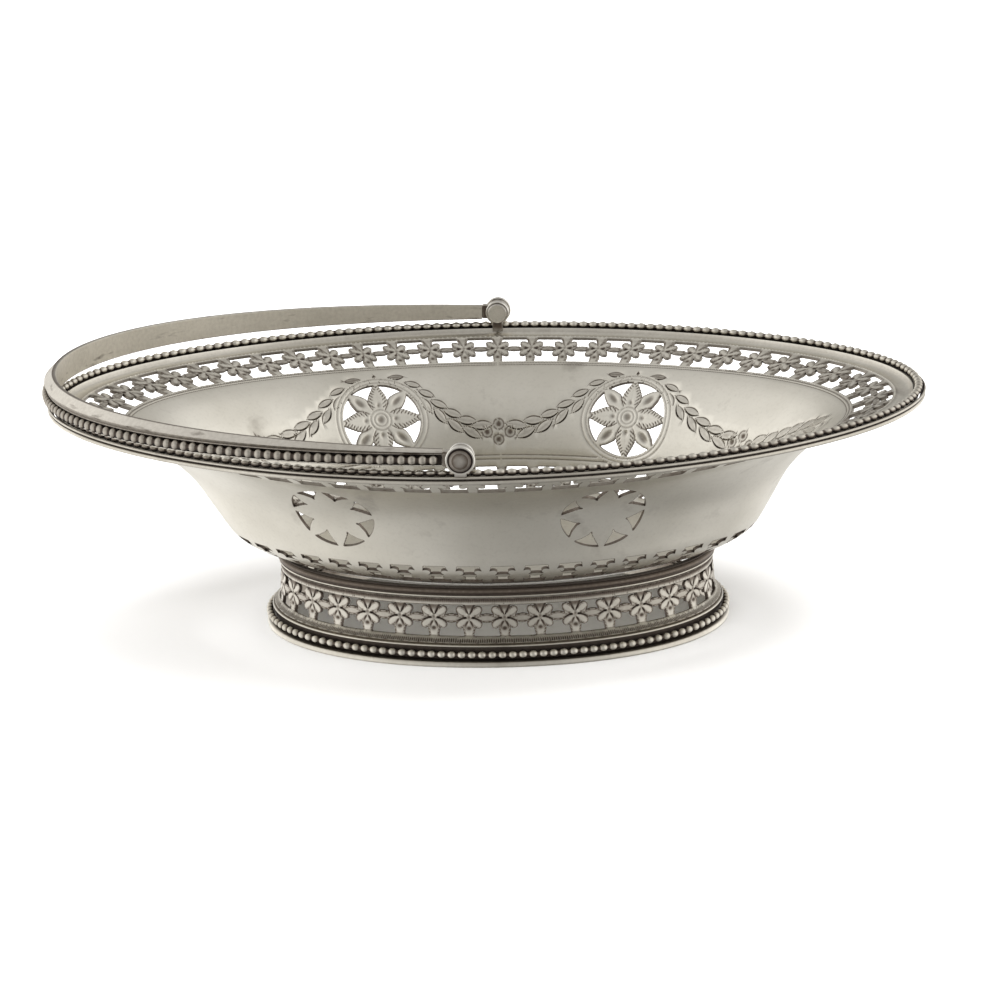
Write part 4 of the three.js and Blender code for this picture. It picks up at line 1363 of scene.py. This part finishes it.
def makeBase():
    wall, edge = base["wall"], base["edge"]
    back, out = wall - base["thickness"], wall + base["reach"]
    ridge = baseTop - base["ridge"]
    section = [
        (back, 0.0, 0.3), (out - 0.2, 0.0, 0.3), (out - 0.05, 0.08, 0.2), (out, 0.3, 0.1),
        (out - 0.06, edge - 0.45, 0.1), (out - 0.25, edge - 0.25, 0.2), (wall + 0.3, edge - 0.12, 0.75),
        (wall, edge, 0.85), (wall, ridge, 0.75), (wall + 0.2, ridge + 0.06, 0.5),
        *[(x, z, 0.08) for x, z in arc((wall + 0.17, ridge + 0.28), 0.2, -60, 75, 6)],
        (wall + 0.05, baseTop, 0.5), (back, baseTop, 0.5),
    ]
    makeRing("foot_base_moulded", baseHalf, bandShape["pinch"], section, 300, "foot_base_ring", footShift)


makeCollar()
makeBase()
footBeads = {
    **rimBeads,
    "count": 127,
    "radius": 0.68,
    "height": 0.68,
    "share": 0.43,
    "core": 0.5,
    "sides": 12,
    "litSide": 0.5,
    "dull": 0.1,
}
beadHeight = (base["edge"] + baseTop - base["ridge"]) / 2
ovalBeads("foot_beads", footBeads, "foot_bead_wire", baseHalf, bandShape["pinch"], beadHeight,
          base["wall"] + 0.3 + footBeads["radius"], footShift)
print("foot ready")


# The swing handle, drawn flat about the hinge line and laid back onto the rim
handle = {
    "half": (56.4, 84.0),    # to the strap's middle, mm
    "pinch": -0.02,
    "tilt": 1.2,    # degrees
    "endWidth": 2.85,
    "crownWidth": 5.2,
    "back": 0.9,    # thickness behind the beads
    "crownBack": 0.35,    # more of it inwards at the crown
    "rail": 0.7,    # how far the rail stands out above the beads
    "railEdge": 0.2,
    "top": 0.4,
    "lip": 0.25,
    "lipReach": 0.4,
    "neck": 0.9,    # from the knuckle to the strap's end
    "gap": 0.3,
    "steps": 220,
}
handleBeads = {
    "pitch": 1.92,
    "radius": 0.68,
    "height": 0.95,
    "halfLength": 0.82,
    "core": 0.6,
    "sides": 12,
    "litSide": 0.75,
    "sunk": 0.05,
    "dull": 0.28,
}
handlePlace = (Matrix.Translation(Vector(pivot)) @ Matrix.Rotation(hingeTurn, 4, "Z")
               @ Matrix.Rotation(math.radians(handle["tilt"]), 4, "Y"))


def placed(points, matrix):
    matrix = np.array(matrix)
    return points @ matrix[:3, :3].T + matrix[:3, 3]


def strapWidth(angle):
    return handle["endWidth"] + (handle["crownWidth"] - handle["endWidth"]) * np.abs(np.cos(angle)) ** 0.8


def archPoint(angle, outward, across):
    x, y = ovalPoint(handle["half"][1] + outward, handle["half"][0] + outward, handle["pinch"], angle)
    return np.stack([x, y, x * 0 + across], 1)


def archEnds(reach):
    start = rear + math.asin(reach / handle["half"][1])
    return start, turn - start


def beadPlace(width):
    # where the row of beads runs across the strap
    return -width / 2 + handle["lip"] + handleBeads["radius"] + handle["gap"]


def makeStrap():
    start, end = archEnds(hinge["knuckle"] + handle["neck"])
    angles = np.linspace(start, end, handle["steps"])
    width = strapWidth(angles)
    back, face = -handle["back"] / 2, handle["back"] / 2
    above = beadPlace(width) + handleBeads["radius"] + handle["gap"]
    rail, lipOut, half = face + handle["rail"], face + handle["lipReach"], width / 2
    edge = above + handle["railEdge"]
    thick = handle["crownBack"] * np.abs(np.cos(angles)) ** 1.5
    slope = (rail - 0.05 - back - handle["top"]) / (edge + 0.06 - half)
    # the channel behind the beads and the rail's inner corner carry painted shade beside the beads
    section = [
        (back + 0.12 - thick, -half, 0.35), (lipOut - 0.08, -half, 0.3), (lipOut, -half + 0.07, 0.12),
        (lipOut, -half + handle["lip"] - 0.05, 0.15), (lipOut - 0.06, -half + handle["lip"], 0.5),
        (face, -half + handle["lip"] + 0.02, 0.85), (face, above, 0.9), (rail - 0.1, above, 0.7),
        (rail, above + 0.08, 0.4), (rail, edge, 0.35), (rail - 0.05, edge + 0.06, 0.35),
        (rail - 0.05 + slope * (half - edge) * -0.3, edge + 0.06 + (half - edge) * 0.3, 0.3),
        (rail - 0.05 + slope * (half - edge) * -0.4, edge + 0.06 + (half - edge) * 0.4, 0.08),
        (back + handle["top"] + 0.12, half - 0.12, 0.1), (back + handle["top"], half, 0.5),
        (back + 0.15 - thick, half, 0.35), (back - thick, half - 0.15, 0.02),
        (back - thick, half - 0.5, 0.04), (back - thick, -half + 0.15, 0.08),
    ]
    rows = [archPoint(angles, outward, across) for outward, across, _ in section]
    points = placed(np.stack(rows, 1).reshape(-1, 3), handlePlace)
    makePiece("handle_strap_shaped", points, tubeFaces(len(angles), len(section), False), strapSilver,
              "handle", "handle_strap",
              {"tarnishAndShade": np.tile([s[2] for s in section], len(angles))})


def makeHandleBeads():
    start, end = archEnds(hinge["knuckle"] + handle["neck"] + handle["gap"] + 0.3)
    angles = np.linspace(start, end, 2401)
    outward = handle["back"] / 2 + handle["gap"] + handleBeads["radius"] - handleBeads["sunk"]
    flatWay, length = wireWay(archPoint(angles, outward, beadPlace(strapWidth(angles))), False)
    count = round(length / handleBeads["pitch"])
    turned = np.array(handlePlace)[:3, :3].T

    def frameAt(place):
        middle, out, up = flatWay(place)
        return placed(middle, handlePlace), out @ turned, up @ turned

    beadedWire("handle_beads", frameAt, count, length / count, handleBeads, "handle", "handle_bead_wire",
               closed=False)


makeStrap()
makeHandleBeads()
print("handle ready")


# Hinges: ears, rivet pins and knuckles, all drawn about the Y axis for the far side
def turnedAbout(profile, angles):
    # a profile of (distance along Y, radius) carried round the Y axis
    rings = [np.stack([np.cos(angles) * r, angles * 0 + y, np.sin(angles) * r], 1) for y, r in profile]
    return np.stack(rings, 1).reshape(-1, 3)


def polarPlate(outline, low, high, bevel):
    # a plate between two distances along Y, with a bore and bevelled edges
    angles = np.arange(hinge["plateSides"]) * turn / hinge["plateSides"]
    reach, bore, shade = outline(angles), hinge["pin"] + hinge["boreRoom"], hinge["shade"]
    profile = ((low, bore), (low, reach - bevel), (low + bevel, reach), (high - bevel, reach),
               (high, reach - bevel), (high, shade + 0.1), (high, shade), (high, bore))
    return turnedAbout(profile, angles), gridFaces(len(angles), len(profile))


def lathed(profile):
    count, rows = hinge["pinSides"], len(profile)
    points = turnedAbout(profile, np.arange(count) * turn / count)
    ends = [[k * rows + end for k in range(count)] for end in (0, rows - 1)]
    return points, gridFaces(count, rows, True, False) + [ends[0][::-1], ends[1]]


def withFoot(radius, halfWidth, depth):
    # a disc with a straight foot below
    def outline(angles):
        x, z = np.abs(np.cos(angles)), np.maximum(-np.sin(angles), 1e-6)
        foot = np.minimum(halfWidth / np.maximum(x, 1e-6), depth / z)
        return np.where(np.sin(angles) < 0, np.maximum(radius, foot), radius)
    return outline


def withNeck(radius, halfHeight, reach):
    # a disc with a neck to the left
    def outline(angles):
        x, z = np.maximum(-np.cos(angles), 1e-6), np.maximum(np.abs(np.sin(angles)), 1e-6)
        neck = np.minimum(reach / x, halfHeight / z)
        return np.where(np.cos(angles) < 0, np.maximum(radius, neck), radius)
    return outline


def makeHinges():
    middle = rim["halfWidth"] + hinge["outset"]
    half = hinge["knuckleLength"] / 2
    inner, outer = middle - half - hinge["side"], middle + half + hinge["side"]
    hingePlace = Matrix.Translation(Vector(pivot)) @ Matrix.Rotation(hingeTurn, 4, "Z")
    stripSeat = pivot[2] - stripTop - 0.02
    flangeSeat = pivot[2] - (bowlPoint([rear], lip)[0, 2] + bowlShape["sheet"]) - 0.02
    headSide = outer + hinge["ear"] + 0.2
    tailSide = inner - hinge["ear"] - 0.2
    tailEnd, headEnd = tailSide - hinge["tailHeight"], headSide + hinge["headHeight"]
    head, tail, face = hinge["head"], hinge["tail"], hinge["headFace"]
    pinProfile = [
        (tailEnd, 0.001), (tailEnd, tail - 0.25), (tailEnd + 0.1, tail - 0.05),
        (tailSide - 0.05, tail), (tailSide, tail - 0.05),
        (tailSide, hinge["pin"]), (headSide, hinge["pin"]),
        (headSide, head - 0.04), (headSide + 0.08, head), (headSide + 0.14, head - 0.04),
        (headSide + 0.26, face + 0.08), (headSide + 0.29, face - 0.06), (headSide + 0.36, face * 0.62),
        (headEnd - 0.01, face * 0.3), (headEnd, 0.001),
    ]
    for far in (False, True):
        side = "rear" if far else "front"
        place = hingePlace if far else hingePlace @ Matrix.Rotation(math.pi, 4, "Z")
        for name, seat, low in (("inner", flangeSeat, inner - hinge["ear"]), ("outer", stripSeat, outer)):
            radius = hinge[f"{name}Ear"]
            high = outer + hinge["ear"] if name == "outer" else inner
            points, faces = polarPlate(withFoot(radius, hinge["earFoot"] / 2, seat), low, high, 0.14)
            # the feet below the discs get painted shade
            onFoot = np.hypot(points[:, 0], points[:, 2]) > radius + 0.03
            dark = np.maximum(np.tile(hinge["earDark"], hinge["plateSides"]), onFoot * hinge["earFootShade"])
            makePiece(f"{side}_ear_{name}", placed(points, place), faces, hingeSilver,
                      "basket", f"hinge_ear_{side}_{name}", {"tarnishAndShade": dark}, 30)
        points, faces = lathed(pinProfile)
        # the near head's face gets a painted dark reflection
        dark = np.array(hinge["pinDark"]) + (0 if far else np.array(hinge["frontDarkReflection"]))
        makePiece(f"{side}_rivet", placed(points, place), faces, hingeSilver, "basket",
                  f"pivot_pin_{side}", {"tarnishAndShade": np.tile(dark, hinge["pinSides"])}, 24)
        reach = hinge["knuckle"] + handle["neck"] + 0.05
        outline = withNeck(hinge["knuckle"], handle["endWidth"] / 2, reach)
        points, faces = polarPlate(outline, middle - half, middle + half, 0.12)
        if not far:
            points = points * (1, -1, 1)
            faces = [face[::-1] for face in faces]
        dark = np.tile(hinge["knuckleDark"], hinge["plateSides"])
        makePiece(f"{side}_knuckle", placed(points, handlePlace), faces, strapSilver,
                  "handle", f"handle_knuckle_{side}", {"tarnishAndShade": dark}, 30)


makeHinges()
print("hinges ready")


# Floor, light and surroundings
studio = {
    "floorSize": 2.8,    # m
    "floorColour": 0.9,
    "floorHeight": -0.00001,    # just under the foot
    "lamps": (
        # place, size, power
        ((-0.3, -1.2, 0.8), 1.0, 19.0),
        ((0.3, 0.2, 1.5), 1.4, 36.0),
    ),
    "aim": (0, 0, 0.02),
    # brightness of the surroundings from the left, 0, to the right, 1
    "sides": (
        (0.0, 2.2), (0.06, 1.5), (0.14, 0.86), (0.3, 0.52), (0.42, 0.36),
        (0.56, 0.33), (0.72, 0.38), (0.84, 0.72), (0.93, 1.4), (1.0, 2.0),
    ),
    "sidesTilt": 0.13,    # how much a height counts as to the right
    # and what is added from below, 0, to overhead, 1
    "heights": ((0.0, 0.0), (0.25, 0.0), (0.36, 0.2), (0.5, 0.2), (0.62, 0.1), (0.74, 0.04), (1.0, 0.26)),
    "behind": 0.6,    # added low down behind the basket
    "behindRange": (0.3, 1.0),
    "lowRange": (0.05, -0.3),
    "tint": (1, 0.98, 0.952),
    "backdrop": 1.05,
}


def makeFloor():
    half = studio["floorSize"] / 2
    corners = [(x * half, y * half, studio["floorHeight"]) for x, y in ((-1, -1), (1, -1), (1, 1), (-1, 1))]
    mesh = bpy.data.meshes.new("floor")
    mesh.from_pydata(corners, [], [(0, 1, 2, 3)])
    floor = bpy.data.objects.new("floor", mesh)
    bpy.context.scene.collection.objects.link(floor)
    floor.visible_glossy = False    # the silver mirrors the surroundings alone
    material = bpy.data.materials.new("pale_floor")
    material.use_nodes = True
    shader = material.node_tree.nodes["Principled BSDF"]
    shader.inputs["Base Color"].default_value = (*[studio["floorColour"]] * 3, 1)
    shader.inputs["Roughness"].default_value = 0.6
    mesh.materials.append(material)


def makeLamps():
    for k, (place, size, power) in enumerate(studio["lamps"]):
        lamp = bpy.data.lights.new(f"softbox_{k}", "AREA")
        lamp.size = size
        lamp.energy = power
        box = bpy.data.objects.new(lamp.name, lamp)
        box.location = place
        box.visible_glossy = False
        box.rotation_mode = "QUATERNION"
        box.rotation_quaternion = (Vector(studio["aim"]) - Vector(place)).to_track_quat("-Z", "Y")
        bpy.context.scene.collection.objects.link(box)


def makeSurroundings():
    world = bpy.data.worlds.new("studio")
    bpy.context.scene.world = world
    world.use_nodes = True
    tree = world.node_tree
    apart = node(tree, "ShaderNodeSeparateXYZ")
    give(tree, apart.inputs[0], node(tree, "ShaderNodeTexCoord").outputs["Generated"])
    x, y, z = apart.outputs

    def graded(source, stops):
        ramp = node(tree, "ShaderNodeValToRGB")
        band = ramp.color_ramp
        band.interpolation = "B_SPLINE"
        while len(band.elements) < len(stops):
            band.elements.new(0.5)
        for element, (at, level) in zip(band.elements, stops):
            element.position = at
            element.color = (level, level, level, 1)
        give(tree, ramp.inputs[0], between(tree, source, (-1.0, 1.0)))
        return ramp.outputs[0]

    sides = graded(calc(tree, "MULTIPLY_ADD", z, studio["sidesTilt"], x), studio["sides"])
    total = calc(tree, "ADD", sides, graded(z, studio["heights"]))
    low = between(tree, z, studio["lowRange"], studio["behind"])
    corners = calc(tree, "ADD", calc(tree, "MULTIPLY", x, x), low)
    lit = calc(tree, "MULTIPLY_ADD", corners, between(tree, y, studio["behindRange"]), total)
    seen = node(tree, "ShaderNodeMix", data_type="FLOAT")
    rays = node(tree, "ShaderNodeLightPath").outputs["Is Camera Ray"]
    for socket, value in ((0, rays), (2, lit), (3, studio["backdrop"])):
        give(tree, seen.inputs[socket], value)
    background = tree.nodes["Background"]
    give(tree, background.inputs["Color"], studio["tint"])
    give(tree, background.inputs["Strength"], seen.outputs[0])


makeFloor()
makeLamps()
makeSurroundings()
bpy.context.scene.view_settings.view_transform = "Standard"
print("studio ready")
